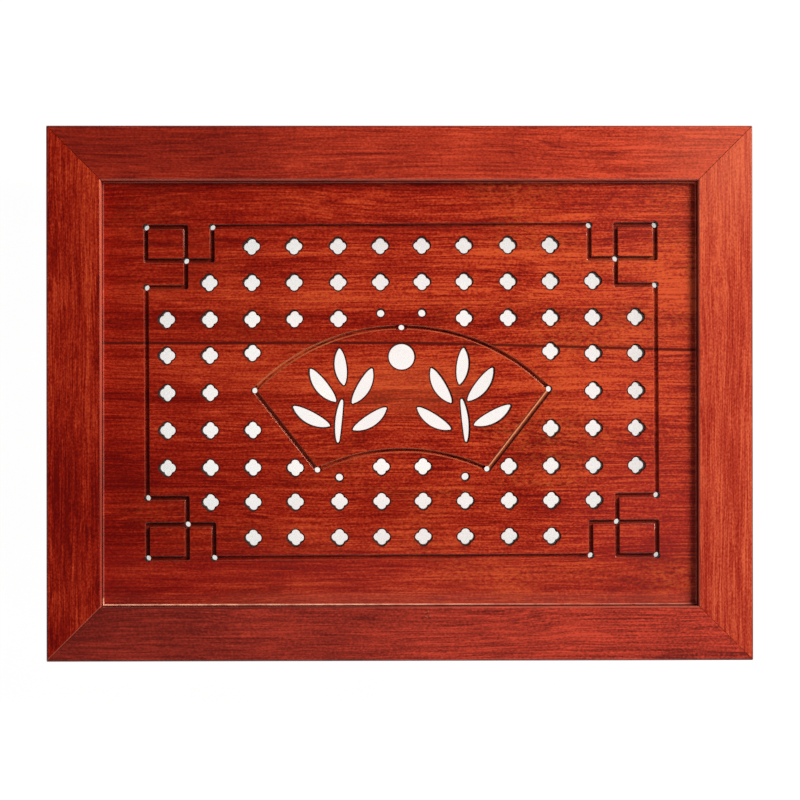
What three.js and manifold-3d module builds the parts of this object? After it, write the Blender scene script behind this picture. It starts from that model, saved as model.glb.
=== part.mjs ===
// Inset tea tray: a framed, pierced hardwood tray top that lifts off a white drip pan.
// Millimetres, +Z up. Origin: centre of the pan's underside. +X is the tray's long side, -Y its front.
import * as THREE from "three";
import { mergeVertices } from "three/addons/utils/BufferGeometryUtils.js";
import Module from "manifold-3d";

const wasm = await Module();
wasm.setup();

// ---------------------------------------------------------------- driving dimensions
const TRAY_L = 450, TRAY_W = 341; // outside of the mitred frame
const RAIL_W = 34.7; // width of a frame rail, seen from above
const RIM_Z = 36; // underside of the frame and of the pan's flange: the table top's level
const RAIL_H = 28; // height of a frame rail
const TOP_Z = RIM_Z + RAIL_H;
const RAIL_CHAMFER = 0.8; // eased arrises of the rails
const MITRE_GAP = 0.3; // glue line between two mitre faces

const RECESS = 6; // the panel's face lies this far below the frame's
const PANEL_T = 10;
const PANEL_TOP = TOP_Z - RECESS, PANEL_BOT = PANEL_TOP - PANEL_T;
const TONGUE_Z0 = PANEL_BOT + 1, TONGUE_Z1 = PANEL_BOT + 5; // tongue round the panel
const TONGUE_L = 8;
const FIT = 0.3; // clearance between fitted wooden faces
const GROOVE_EXTRA = 1; // room for the panel to swell in the rail's groove

const REBATE_W = 18.5, REBATE_H = 4; // rebate under the rails that hides the pan's flange

const SEAM_BACK = 59.6, SEAM_FRONT = -59.7; // glue joints between the three panel boards
const SEAM_GAP = 0.05;
const EDGE_TONGUE = 4; // tongue-and-groove between boards

const BATTEN_X = 81.9; // battens lie between two columns of drain holes
const BATTEN_W = 12, BATTEN_Z0 = 40.5;
const DOVETAIL_H = 3, DOVETAIL_NECK = 3, DOVETAIL_HEAD = 4; // half widths
const BATTEN_TENON = 8; // length and width

const TENON_L = 20, TENON_W = 14, TENON_T = 5, TENON_Z0 = 42; // loose tenons across the mitres

// Routed and drilled pattern, about its own centre, which lies a little off the frame's and is turned a little
const PAT_X = 1.1, PAT_Y = 1.2, PAT_TURN = (0.275 * Math.PI) / 180;
const COL = [13.3, 40.3, 68.4, 95.5, 122.7, 150.0]; // half offsets of the twelve columns
const LOBE_R = 2.65, LOBE_A = 2.4; // four-lobed drain hole
const GROOVE_W = 3.5, FAN_GROOVE_W = 2.9, GROOVE_D = 2.0;
const DOT_R = 1.8, SMALL_R = 2.3, FINGER_R = 8.2;
const FRET = { xOut: 162.8, xMid: 137.4, xIn: 120.5, yOut: 105.8, yMid: 84.3, ySide: 67.3 };
const FAN = { x: 94.2, y: 1.1, apex: 41.0, xb: 54.4, yb: -50.0, apexB: -37.6 };

// Drip pan
const PAN = { hx: 189, hy: 134, bx: 186.5, by: 131.5, r: 18, wall: 2.5, floor: 2.5 };
const FLANGE = { hx: 208, hy: 153, r: 16, t: 2.5 };
const PAD_R = 5, PAD_GAP = 0.05;
const NOZ_Z = 13, BOSS_IN = 128.7, BOSS_OUT = 133.5;
const NOZ = { tail: 5.2, bore: 4.2, flange: 10, neck: 5.2, barb: 5.9, y0: 119.5, y1: 160 };
const CAP = { inner: 6.2, outer: 7.3, bead: 7.9 };

// ---------------------------------------------------------------- helpers
const merge = (g) => {
  const p = new THREE.BufferGeometry();
  const n = g.index ? g.toNonIndexed() : g;
  p.setAttribute("position", n.getAttribute("position").clone());
  return mergeVertices(p, 1e-4);
};
function solid(g) {
  const m = merge(g);
  return new wasm.Manifold(
    new wasm.Mesh({
      numProp: 3,
      vertProperties: new Float32Array(m.attributes.position.array),
      triVerts: new Uint32Array(m.index.array),
    }),
  );
}
function geometry(s) {
  const m = s.getMesh();
  const g = new THREE.BufferGeometry();
  g.setAttribute("position", new THREE.BufferAttribute(new Float32Array(m.vertProperties), 3));
  g.setIndex(new THREE.BufferAttribute(new Uint32Array(m.triVerts), 1));
  g.computeVertexNormals();
  return g;
}
const add = (list) => list.reduce((a, b) => a.add(b));
const box = (x0, y0, z0, x1, y1, z1) =>
  solid(new THREE.BoxGeometry(x1 - x0, y1 - y0, z1 - z0).translate((x0 + x1) / 2, (y0 + y1) / 2, (z0 + z1) / 2));
const shape = (pts) => new THREE.Shape(pts.map(([x, y]) => new THREE.Vector2(x, y)));
const extrude = (pts, depth) => new THREE.ExtrudeGeometry(shape(pts), { depth, bevelEnabled: false, steps: 1 });
const prismZ = (pts, z0, z1) => solid(extrude(pts, z1 - z0).translate(0, 0, z0));
// a section drawn in (y, z), run along X
const prismX = (pts, x0, x1) =>
  extrude(pts, x1 - x0).applyMatrix4(
    new THREE.Matrix4().makeBasis(new THREE.Vector3(0, 1, 0), new THREE.Vector3(0, 0, 1), new THREE.Vector3(1, 0, 0)),
  ).translate(x0, 0, 0);
// a section drawn in (x, z), run along Y
const prismY = (pts, y0, y1) =>
  extrude(pts, y1 - y0).applyMatrix4(
    new THREE.Matrix4().makeBasis(new THREE.Vector3(1, 0, 0), new THREE.Vector3(0, 0, 1), new THREE.Vector3(0, -1, 0)),
  ).translate(0, y1, 0);
const circle = (cx, cy, r, n, turn = 0) =>
  Array.from({ length: n }, (_, i) => {
    const a = turn + (2 * Math.PI * i) / n;
    return [cx + r * Math.cos(a), cy + r * Math.sin(a)];
  });
function roundedRect(hx, hy, r, n = 5) {
  const pts = [];
  for (const [sx, sy, a0] of [[1, 1, 0], [-1, 1, 90], [-1, -1, 180], [1, -1, 270]])
    for (let i = 0; i <= n; i++) {
      const a = ((a0 + (90 * i) / n) * Math.PI) / 180;
      pts.push([sx * (hx - r) + r * Math.cos(a), sy * (hy - r) + r * Math.sin(a)]);
    }
  return pts;
}
// a rounded rectangle that narrows from its top to its bottom
function tub(hx, hy, r, bx, by, z0, z1) {
  const g = extrude(roundedRect(hx, hy, r), z1 - z0);
  const p = g.attributes.position;
  for (let i = 0; i < p.count; i++)
    if (p.getZ(i) < (z1 - z0) / 2) p.setXY(i, (p.getX(i) * bx) / hx, (p.getY(i) * by) / hy);
  return solid(g.translate(0, 0, z0));
}

// ---------------------------------------------------------------- finishes
const finish = (color, roughness, metalness = 0) => new THREE.MeshStandardMaterial({ color, roughness, metalness });
const railWood = finish(0xa83a22, 0.32);
const panelWood = finish(0x9f2e18, 0.32);
const innerWood = finish(0x8a4a2c, 0.6);
const whitePlastic = finish(0xf2f2ee, 0.4);
const brass = finish(0xb8913f, 0.3, 1);
const silicone = finish(0xd9d9d4, 0.6);
const blackRubber = finish(0x1c1c1c, 0.7);

const tray = new THREE.Group();
tray.name = "inset_tea_tray";
const top = new THREE.Group(), base = new THREE.Group();
tray.add(base, top);
function place(parent, name, s, material) {
  const m = new THREE.Mesh(s.isBufferGeometry ? s : geometry(s), material.clone());
  m.name = name;
  parent.add(m);
  return m;
}

// ---------------------------------------------------------------- mitred frame
const railProfile = (() => {
  const c = RAIL_CHAMFER, reb = RAIL_W - REBATE_W;
  const g0 = TONGUE_Z0 - FIT, g1 = TONGUE_Z1 + FIT, gd = RAIL_W - (TONGUE_L + GROOVE_EXTRA);
  return [
    [0, RIM_Z], [reb, RIM_Z], [reb, RIM_Z + REBATE_H], [RAIL_W, RIM_Z + REBATE_H],
    [RAIL_W, g0], [gd, g0], [gd, g1], [RAIL_W, g1],
    [RAIL_W, TOP_Z - c], [RAIL_W - c, TOP_Z], [c, TOP_Z], [0, TOP_Z - c],
  ];
})();
// a loose tenon's section, rounded on both edges, in (across, z)
const tenonSection = (grow) => {
  const h = TENON_W / 2 + grow, t = TENON_T / 2 + grow, pts = [];
  for (let i = 0; i <= 4; i++) {
    const a = -Math.PI / 2 + (Math.PI * i) / 4;
    pts.push([h - t + t * Math.cos(a), t * Math.sin(a)]);
  }
  for (let i = 0; i <= 4; i++) {
    const a = Math.PI / 2 + (Math.PI * i) / 4;
    pts.push([-(h - t) + t * Math.cos(a), t * Math.sin(a)]);
  }
  return pts;
};
// lies along the mitre's normal, at the middle of a corner; turn is that normal's direction
const tenonGeometry = (grow) => prismX(tenonSection(grow), -TENON_L / 2 - grow, TENON_L / 2 + grow);
const tenonPlace = (g, cx, cy, deg) =>
  g.applyMatrix4(new THREE.Matrix4().makeRotationZ((deg * Math.PI) / 180)).translate(cx, cy, TENON_Z0 + TENON_T / 2);

// a rail along X at the front of a frame of the given outside size
function rail(len, wid, battens) {
  const g = extrude(railProfile, 1), p = g.attributes.position;
  const back = (MITRE_GAP / 2) * Math.SQRT2;
  for (let i = 0; i < p.count; i++) {
    const u = p.getX(i), z = p.getY(i), end = p.getZ(i) > 0.5 ? 1 : -1;
    p.setXYZ(i, end * (len / 2 - u - back), -wid / 2 + u, z);
  }
  let s = solid(g);
  const cx = len / 2 - RAIL_W / 2, cy = -wid / 2 + RAIL_W / 2;
  s = s.subtract(solid(tenonPlace(tenonGeometry(FIT), cx, cy, 45)));
  s = s.subtract(solid(tenonPlace(tenonGeometry(FIT), -cx, cy, 135)));
  for (const x of battens) {
    const h = BATTEN_TENON / 2 + FIT, y = -wid / 2 + RAIL_W;
    s = s.subtract(box(x - h, y - BATTEN_TENON - FIT, BATTEN_Z0 + 1.5 - FIT, x + h, y + 1, PANEL_BOT - 0.6 + FIT));
  }
  return s;
}
const longRail = rail(TRAY_L, TRAY_W, [-BATTEN_X, BATTEN_X]);
const shortRail = rail(TRAY_W, TRAY_L, []);
place(top, "front_rail", longRail, railWood);
place(top, "back_rail", longRail, railWood).rotation.z = Math.PI;
place(top, "right_rail", shortRail, railWood).rotation.z = Math.PI / 2;
place(top, "left_rail", shortRail, railWood).rotation.z = -Math.PI / 2;

const cornerX = TRAY_L / 2 - RAIL_W / 2, cornerY = TRAY_W / 2 - RAIL_W / 2;
for (const [name, sx, sy] of [["front_left", -1, -1], ["front_right", 1, -1], ["back_right", 1, 1], ["back_left", -1, 1]]) {
  const m = place(top, "corner_tenon_" + name, tenonGeometry(0), innerWood);
  m.position.set(sx * cornerX, sy * cornerY, TENON_Z0 + TENON_T / 2);
  m.rotation.z = sx * sy < 0 ? Math.PI / 4 : (3 * Math.PI) / 4;
}

// ---------------------------------------------------------------- pierced pattern
function quatrefoil(cx, cy) {
  const t = (LOBE_A + Math.sqrt(2 * LOBE_R ** 2 - LOBE_A ** 2)) / 2;
  const edge = Math.atan2(t, t - LOBE_A), pts = [];
  for (let k = 0; k < 4; k++) {
    const turn = (k * Math.PI) / 2;
    for (const a of [-edge, -0.6, 0.6]) {
      const x = LOBE_A + LOBE_R * Math.cos(a), y = LOBE_R * Math.sin(a);
      pts.push([cx + x * Math.cos(turn) - y * Math.sin(turn), cy + x * Math.sin(turn) + y * Math.cos(turn)]);
    }
  }
  return pts;
}
// a leaf: its middle, length, width, direction in degrees and bend
function leaf(cx, cy, len, wid, deg, bend = 0, n = 5) {
  const up = [], down = [], a = (deg * Math.PI) / 180;
  for (let i = 0; i <= n; i++) {
    const t = -1 + (2 * i) / n;
    const h = 0.9 + (wid / 2 - 0.9) * Math.pow(1 - t * t, 0.8);
    const x = (t * len) / 2, mid = bend * (1 - t * t);
    up.push([x, mid + h]);
    down.push([x, mid - h]);
  }
  return [...down, ...up.reverse()].map(([x, y]) => [cx + x * Math.cos(a) - y * Math.sin(a), cy + x * Math.sin(a) + y * Math.cos(a)]);
}
const HOLES = [];
for (const [y, cols] of [
  [93.3, [0, 1, 2, 3]], [70.1, [0, 1, 2, 3, 4]], [46.7, [1, 2, 3, 4, 5]], [23.7, [4, 5]], [25.2, [3]],
  [-0.2, [4, 5]], [-24.2, [3, 4, 5]], [-48.2, [0, 2.5, 3, 4, 5]], [-70.3, [0, 1, 2, 3, 4]], [-93.2, [0, 1, 2, 3]],
])
  for (const c of cols) if (c !== 2.5) for (const s of [-1, 1]) HOLES.push([s * COL[c], y]);
HOLES.push([-COL[2], -48.6], [COL[2], -48.4]);

// leaf sprigs in the fan, one bud and four leaves on a short stem, the right one a mirror image
const SPRIG = [
  [-38.5, 16.0, 22, 7.6, 97, 0.6], [-50.5, 4.2, 25, 8.2, 128, 1.2], [-25.3, 3.6, 24, 8.0, 60, -1.2],
  [-58.0, -15.6, 25, 7.8, 152, 1.2], [-20.6, -17.5, 24, 7.6, 33, -1.2], [-39.8, -18.8, 26, 4.2, 84, 0.8],
];
const through = [];
const PC = Math.cos(PAT_TURN), PS = Math.sin(PAT_TURN);
const onPanel = ([x, y]) => [PAT_X + x * PC - y * PS, PAT_Y + x * PS + y * PC];
const cut = (pts) => through.push(prismZ(pts.map(onPanel), PANEL_BOT - 5, PANEL_TOP + 1));
for (const [x, y] of HOLES) cut(quatrefoil(x, y));
for (const s of [-1, 1]) {
  cut(circle(s * 13.2, 50.1, SMALL_R, 8));
  cut(circle(s * 40.3, -54.8, SMALL_R, 8));
}
cut(circle(0, 22.2, FINGER_R, 20));
for (const l of SPRIG) {
  cut(leaf(...l));
  cut(leaf(...l).map(([x, y]) => [-x, y]).reverse());
}
const DOTS = [[0, FAN.apex]];
for (const sx of [-1, 1]) {
  DOTS.push([sx * FAN.x, FAN.y], [sx * FAN.xb, FAN.yb]);
  for (const sy of [-1, 1])
    DOTS.push([sx * FRET.xOut, sy * FRET.yOut], [sx * FRET.xMid, sy * FRET.yMid], [sx * FRET.xIn, sy * FRET.yOut], [sx * FRET.xOut, sy * FRET.ySide]);
}
for (const [x, y] of DOTS) cut(circle(x, y, DOT_R, 8, Math.PI / 8));

// blind grooves: fret corners, border lines and the fan
const grooves = [];
const groove = (pts) => grooves.push(prismZ(pts.map(onPanel), PANEL_TOP - GROOVE_D, PANEL_TOP + 1));
function line(x0, y0, x1, y1, over = GROOVE_W / 2, wide = GROOVE_W) {
  const l = Math.hypot(x1 - x0, y1 - y0), dx = (x1 - x0) / l, dy = (y1 - y0) / l, h = wide / 2;
  const a = [x0 - dx * over, y0 - dy * over], b = [x1 + dx * over, y1 + dy * over];
  groove([[a[0] + dy * h, a[1] - dx * h], [b[0] + dy * h, b[1] - dx * h], [b[0] - dy * h, b[1] + dx * h], [a[0] - dy * h, a[1] + dx * h]]);
}
for (const sx of [-1, 1])
  for (const sy of [-1, 1]) {
    const F = FRET;
    line(sx * F.xOut, sy * F.yOut, sx * F.xMid, sy * F.yOut);
    line(sx * F.xOut, sy * F.yMid, sx * F.xIn, sy * F.yMid);
    line(sx * F.xOut, sy * F.yOut, sx * F.xOut, sy * F.yMid);
    line(sx * F.xMid, sy * F.yOut, sx * F.xMid, sy * F.ySide);
    line(sx * F.xIn, sy * F.yOut, sx * F.xIn, sy * F.yMid);
    line(sx * F.xOut, sy * F.ySide, sx * F.xMid, sy * F.ySide);
  }
for (const sy of [-1, 1]) line(-FRET.xIn, sy * FRET.yOut, FRET.xIn, sy * FRET.yOut);
for (const sx of [-1, 1]) {
  line(sx * FRET.xOut, -FRET.ySide, sx * FRET.xOut, FRET.ySide);
  line(sx * FAN.x, FAN.y, sx * FAN.xb, FAN.yb, 0, FAN_GROOVE_W);
}
function arc(hx, y, apex, n) {
  const sag = apex - y, R = (hx * hx + sag * sag) / (2 * sag), cy = apex - R, half = Math.asin(hx / R);
  const pts = [];
  for (const [r, dir] of [[R + FAN_GROOVE_W / 2, 1], [R - FAN_GROOVE_W / 2, -1]])
    for (let i = 0; i <= n; i++) {
      const a = Math.PI / 2 - dir * (-half + (2 * half * i) / n);
      pts.push([r * Math.cos(a), cy + r * Math.sin(a)]);
    }
  groove(pts.reverse());
}
arc(FAN.x, FAN.y, FAN.apex, 24);
arc(FAN.xb, FAN.yb, FAN.apexB, 14);

const pattern = add([...through, ...grooves]);

// ---------------------------------------------------------------- panel boards and battens
const inX = TRAY_L / 2 - RAIL_W - FIT, inY = TRAY_W / 2 - RAIL_W - FIT; // the panel's shoulders
const et0 = PANEL_TOP - 6.5, et1 = et0 + 3; // tongue between boards
const edge = (seam, s) => [ // grooved edge of an outer board, from below; s is the side of the seam it lies on
  [seam + s * SEAM_GAP, PANEL_BOT], [seam + s * SEAM_GAP, et0 - FIT], [seam + s * (EDGE_TONGUE + FIT), et0 - FIT],
  [seam + s * (EDGE_TONGUE + FIT), et1 + FIT], [seam + s * SEAM_GAP, et1 + FIT], [seam + s * SEAM_GAP, PANEL_TOP],
];
const rim = (s) => [
  [s * inY, PANEL_BOT], [s * inY, TONGUE_Z0], [s * (inY + TONGUE_L), TONGUE_Z0],
  [s * (inY + TONGUE_L), TONGUE_Z1], [s * inY, TONGUE_Z1], [s * inY, PANEL_TOP],
];
const tongued = (seam, s) => [
  [seam - s * SEAM_GAP, PANEL_BOT], [seam - s * SEAM_GAP, et0], [seam + s * EDGE_TONGUE, et0],
  [seam + s * EDGE_TONGUE, et1], [seam - s * SEAM_GAP, et1], [seam - s * SEAM_GAP, PANEL_TOP],
];
const boardSections = {
  panel_board_back: [...rim(1), ...edge(SEAM_BACK, 1).reverse()],
  panel_board_middle: [...tongued(SEAM_BACK, 1), ...tongued(SEAM_FRONT, -1).reverse()],
  panel_board_front: [...edge(SEAM_FRONT, -1), ...rim(-1).reverse()],
};
const E = inX + TONGUE_L, FAR = TRAY_W;
const shoulders = [-1, 1].flatMap((s) =>
  [[TONGUE_Z1, PANEL_TOP + 1], [PANEL_BOT - 1, TONGUE_Z0]].map(([z0, z1]) =>
    box(Math.min(s * inX, s * (E + 1)), -FAR, z0, Math.max(s * inX, s * (E + 1)), FAR, z1)));
const housings = [-BATTEN_X, BATTEN_X].map((x) => {
  const n = DOVETAIL_NECK + FIT, h = DOVETAIL_HEAD + FIT, z = PANEL_BOT - FIT;
  return solid(prismY([[x - n, z], [x + n, z], [x + h, z + DOVETAIL_H + FIT], [x - h, z + DOVETAIL_H + FIT]], -FAR, FAR));
});
const cuts = add([pattern, ...shoulders, ...housings]);
for (const [name, section] of Object.entries(boardSections))
  place(top, name, solid(prismX(section, -E, E)).subtract(cuts), panelWood);

for (const [name, x] of [["batten_left", -BATTEN_X], ["batten_right", BATTEN_X]]) {
  const h = BATTEN_W / 2, z = PANEL_BOT - FIT;
  const bar = solid(prismY([
    [x - h, BATTEN_Z0], [x + h, BATTEN_Z0], [x + h, z], [x + DOVETAIL_NECK, z],
    [x + DOVETAIL_HEAD, z + DOVETAIL_H], [x - DOVETAIL_HEAD, z + DOVETAIL_H], [x - DOVETAIL_NECK, z], [x - h, z],
  ], -inY, inY));
  const t = BATTEN_TENON / 2, e = inY + BATTEN_TENON;
  place(top, name, bar.add(box(x - t, -e, BATTEN_Z0 + 1.5, x + t, e, PANEL_BOT - 0.6)), innerWood);
}

// ---------------------------------------------------------------- soft pads under the frame
const padTop = RIM_Z + REBATE_H, padBot = RIM_Z + FLANGE.t + PAD_GAP;
for (const [name, sx, sy] of [["front_left", -1, -1], ["front_right", 1, -1], ["back_right", 1, 1], ["back_left", -1, 1]]) {
  const g = new THREE.CylinderGeometry(PAD_R, PAD_R, padTop - padBot, 16).rotateX(Math.PI / 2);
  const m = place(top, "cushion_pad_" + name, g, silicone);
  m.position.set(sx * 199, sy * 104, (padTop + padBot) / 2);
}

// ---------------------------------------------------------------- drip pan and its drain
const panSolid = (() => {
  const shell = tub(PAN.hx, PAN.hy, PAN.r, PAN.bx, PAN.by, 0, RIM_Z)
    .add(prismZ(roundedRect(FLANGE.hx, FLANGE.hy, FLANGE.r), RIM_Z, RIM_Z + FLANGE.t));
  const w = PAN.wall;
  const hollow = tub(PAN.hx - w, PAN.hy - w, PAN.r - w, PAN.bx - w, PAN.by - w, PAN.floor, RIM_Z + FLANGE.t + 1);
  const boss = box(-14, BOSS_IN, 1, 14, BOSS_OUT, 27);
  const hole = solid(new THREE.CylinderGeometry(NOZ.tail + 0.3, NOZ.tail + 0.3, 20, 20).translate(0, 131, NOZ_Z));
  return shell.subtract(hollow).add(boss).subtract(hole);
})();
place(base, "drip_pan", panSolid, whitePlastic);

const lathe = (pts, n = 20) => new THREE.LatheGeometry(pts.map(([r, y]) => new THREE.Vector2(r, y)), n);
const gasketT = 1.5, fl0 = BOSS_OUT + gasketT + 0.1, fl1 = fl0 + 3;
const nozzle = lathe([
  [NOZ.bore, NOZ.y0], [NOZ.tail, NOZ.y0], [NOZ.tail, fl0], [NOZ.flange, fl0], [NOZ.flange, fl1], [NOZ.neck, fl1],
  [NOZ.neck, 146], [NOZ.barb, 146], [NOZ.neck, 150], [NOZ.barb, 150], [NOZ.neck, 154], [NOZ.barb, 154],
  [NOZ.neck - 0.4, NOZ.y1], [NOZ.bore, NOZ.y1], [NOZ.bore, NOZ.y0],
]);
place(base, "drain_nozzle", nozzle, brass).position.z = NOZ_Z;
place(base, "nozzle_gasket", lathe([[NOZ.tail + 0.2, BOSS_OUT + 0.05], [9.5, BOSS_OUT + 0.05], [9.5, BOSS_OUT + gasketT], [NOZ.tail + 0.2, BOSS_OUT + gasketT], [NOZ.tail + 0.2, BOSS_OUT + 0.05]]), blackRubber).position.z = NOZ_Z;
const nut = solid(new THREE.CylinderGeometry(10.5, 10.5, 6, 6).translate(0, BOSS_IN - 3.1, 0))
  .subtract(solid(new THREE.CylinderGeometry(NOZ.tail + 0.2, NOZ.tail + 0.2, 20, 20).translate(0, BOSS_IN - 3, 0)));
place(base, "nozzle_nut", nut, brass).position.z = NOZ_Z;
place(base, "nozzle_cap", lathe([
  [0, 161], [CAP.inner, 161], [CAP.inner, 147], [CAP.outer, 147], [CAP.outer, 149], [CAP.bead, 149], [CAP.bead, 151],
  [CAP.outer, 151], [CAP.outer, 163.2], [CAP.outer - 0.8, 164], [0, 164],
]), silicone).position.z = NOZ_Z;

export default tray;
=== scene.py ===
import math

import bmesh
import bpy
import numpy as np
from mathutils import Matrix, Vector


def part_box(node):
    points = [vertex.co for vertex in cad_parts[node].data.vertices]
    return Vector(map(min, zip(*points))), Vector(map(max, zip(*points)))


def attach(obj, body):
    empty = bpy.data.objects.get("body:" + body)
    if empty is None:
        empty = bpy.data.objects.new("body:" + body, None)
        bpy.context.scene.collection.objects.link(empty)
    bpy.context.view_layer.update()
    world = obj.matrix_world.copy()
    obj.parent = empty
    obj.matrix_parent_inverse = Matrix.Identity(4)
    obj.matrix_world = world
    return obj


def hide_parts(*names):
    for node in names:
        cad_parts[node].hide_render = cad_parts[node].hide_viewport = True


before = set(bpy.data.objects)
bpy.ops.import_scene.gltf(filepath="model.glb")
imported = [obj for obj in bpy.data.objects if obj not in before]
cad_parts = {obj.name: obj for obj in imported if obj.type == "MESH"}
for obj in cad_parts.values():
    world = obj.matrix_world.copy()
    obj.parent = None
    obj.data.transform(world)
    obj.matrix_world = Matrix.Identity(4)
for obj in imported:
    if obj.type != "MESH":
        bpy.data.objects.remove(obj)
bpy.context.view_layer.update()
scene = bpy.context.scene
MM = 0.001

# ------------------------------------------------------------------ sizes, in millimetres, as in the CAD model
TRAY_L, TRAY_W, RAIL_W = 450.0, 341.0, 34.7
RIM_Z, TOP_Z = 36.0, 64.0
PANEL_TOP, PANEL_BOT = 58.0, 48.0
TONGUE_Z0, TONGUE_Z1, TONGUE_L, FIT = 49.0, 53.0, 8.0, 0.3
REBATE_W, REBATE_H = 18.5, 4.0
SEAM_BACK, SEAM_FRONT, SEAM_GAP, EDGE_TONGUE = 59.6, -59.7, 0.05, 4.0
BATTEN_X, BATTEN_W, BATTEN_Z0 = 81.9, 12.0, 40.5
PAT_X, PAT_Y, PAT_TURN = 1.1, 1.2, math.radians(0.275)
COL = [13.3, 40.3, 68.4, 95.5, 122.7, 150.0]
LOBE_R, LOBE_A = 2.65, 2.4
DOT_R, SMALL_R, FINGER_R = 1.8, 2.3, 8.2
F_XOUT, F_XMID, F_XIN, F_YOUT, F_YMID, F_YSIDE = 162.8, 137.4, 120.5, 105.8, 84.3, 67.3
FAN_X, FAN_Y, FAN_APEX, FAN_XB, FAN_YB, FAN_APEXB = 94.2, 1.1, 41.0, 54.4, -50.0, -37.6
NOZ_Z, BOSS_IN, BOSS_OUT = 13.0, 128.7, 133.5
IN_X, IN_Y = TRAY_L / 2 - RAIL_W - FIT, TRAY_W / 2 - RAIL_W - FIT


def shift(pts):
    """From the pattern's own centre and turn to the tray's."""
    c, s = math.cos(PAT_TURN), math.sin(PAT_TURN)
    return [(PAT_X + x * c - y * s, PAT_Y + x * s + y * c) for x, y in pts]


# ------------------------------------------------------------------ mesh helpers
def make(name, verts, faces, scale=MM):
    me = bpy.data.meshes.new(name)
    me.from_pydata([(x * scale, y * scale, z * scale) for x, y, z in verts], [], faces)
    bm = bmesh.new()
    bm.from_mesh(me)
    bmesh.ops.recalc_face_normals(bm, faces=bm.faces)
    bm.to_mesh(me)
    bm.free()
    ob = bpy.data.objects.new(name, me)
    scene.collection.objects.link(ob)
    return ob


def rings(name, loops, caps=(True, True), closed=False):
    """A skin over loops of equally many points."""
    n = len(loops[0])
    verts = [p for loop in loops for p in loop]
    faces = []
    m = len(loops)
    for i in range(m if closed else m - 1):
        a, b = i * n, ((i + 1) % m) * n
        for j in range(n):
            k = (j + 1) % n
            faces.append((a + j, a + k, b + k, b + j))
    if not closed:
        if caps[0]:
            faces.append(tuple(range(n))[::-1])
        if caps[1]:
            faces.append(tuple(range((m - 1) * n, m * n)))
    return make(name, verts, faces)


def join(name, parts):
    """Several loose meshes as one."""
    verts, faces, base = [], [], 0
    for ob in parts:
        me = ob.data
        verts += [tuple(v.co) for v in me.vertices]
        faces += [tuple(base + i for i in p.vertices) for p in me.polygons]
        base += len(me.vertices)
        bpy.data.objects.remove(ob)
        bpy.data.meshes.remove(me)
    return make(name, verts, faces, 1.0)


def boolean(ob, cutter, op="DIFFERENCE", keep=False):
    m = ob.modifiers.new("cut", "BOOLEAN")
    m.object, m.operation, m.solver = cutter, op, "MANIFOLD"
    dg = bpy.context.evaluated_depsgraph_get()
    me = bpy.data.meshes.new_from_object(ob.evaluated_get(dg))
    if len(me.polygons) == 0:
        raise RuntimeError("empty result on " + ob.name)
    ob.modifiers.clear()
    old, ob.data = ob.data, me
    me.name = ob.name
    bpy.data.meshes.remove(old)
    if not keep:
        drop(cutter)
    return ob


def drop(ob):
    me = ob.data
    bpy.data.objects.remove(ob)
    bpy.data.meshes.remove(me)


def smooth(ob, angle=35, weighted=True):
    ob.data.shade_smooth()
    ob.data.set_sharp_from_angle(angle=math.radians(angle))
    if weighted:
        w = ob.modifiers.new("normals", "WEIGHTED_NORMAL")
        w.keep_sharp, w.weight, w.mode = True, 80, "FACE_AREA"
    return ob


def fillet(points, radii, n=4):
    out, m = [], len(points)
    for i, (p, r) in enumerate(zip(points, radii)):
        p = np.array(p, float)
        if not r:
            out.append(tuple(p))
            continue
        a = np.array(points[i - 1], float) - p
        b = np.array(points[(i + 1) % m], float) - p
        a /= np.linalg.norm(a)
        b /= np.linalg.norm(b)
        half = math.acos(max(-1.0, min(1.0, float(a @ b)))) / 2
        c = p + (a + b) / np.linalg.norm(a + b) * (r / math.sin(half))
        s, e = p + a * (r / math.tan(half)) - c, p + b * (r / math.tan(half)) - c
        a0, a1 = math.atan2(s[1], s[0]), math.atan2(e[1], e[0])
        da = (a1 - a0 + math.pi) % (2 * math.pi) - math.pi
        for k in range(n + 1):
            t = a0 + da * k / n
            out.append((c[0] + r * math.cos(t), c[1] + r * math.sin(t)))
    return out


def offset(pts, d):
    """Moves a counter-clockwise outline outwards by d (inwards if d is negative)."""
    p = np.array(pts, float)
    e = np.roll(p, -1, 0) - p
    ln = np.linalg.norm(e, axis=1, keepdims=True)
    e = e / np.maximum(ln, 1e-9)
    nrm = np.c_[e[:, 1], -e[:, 0]]
    prev = np.roll(nrm, 1, 0)
    v = nrm + prev
    v /= np.maximum((v * nrm).sum(1, keepdims=True), 0.3)
    return [tuple(q) for q in p + v * d]


def prism_x(name, pts, x0, x1):
    return rings(name, [[(x, y, z) for y, z in pts] for x in (x0, x1)])


def prism_y(name, pts, y0, y1):
    return rings(name, [[(x, y, z) for x, z in pts] for y in (y0, y1)])


def rounded_rect(hx, hy, r, n=10):
    pts = []
    for sx, sy, a0 in ((1, 1, 0), (-1, 1, 90), (-1, -1, 180), (1, -1, 270)):
        for i in range(n + 1):
            a = math.radians(a0 + 90 * i / n)
            pts.append((sx * (hx - r) + r * math.cos(a), sy * (hy - r) + r * math.sin(a)))
    return pts


def lathe_y(name, profile, z, n=72, wave=None, closed=False):
    """A turned piece about a Y axis; wave(angle, y, r) may change the radius."""
    loops = []
    for r, y in profile:
        loop = []
        for j in range(n):
            a = 2 * math.pi * j / n
            q = wave(a, y, r) if wave else r
            loop.append((q * math.cos(a), y, z + q * math.sin(a)))
        loops.append(loop)
    return rings(name, loops, closed=closed)


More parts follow.
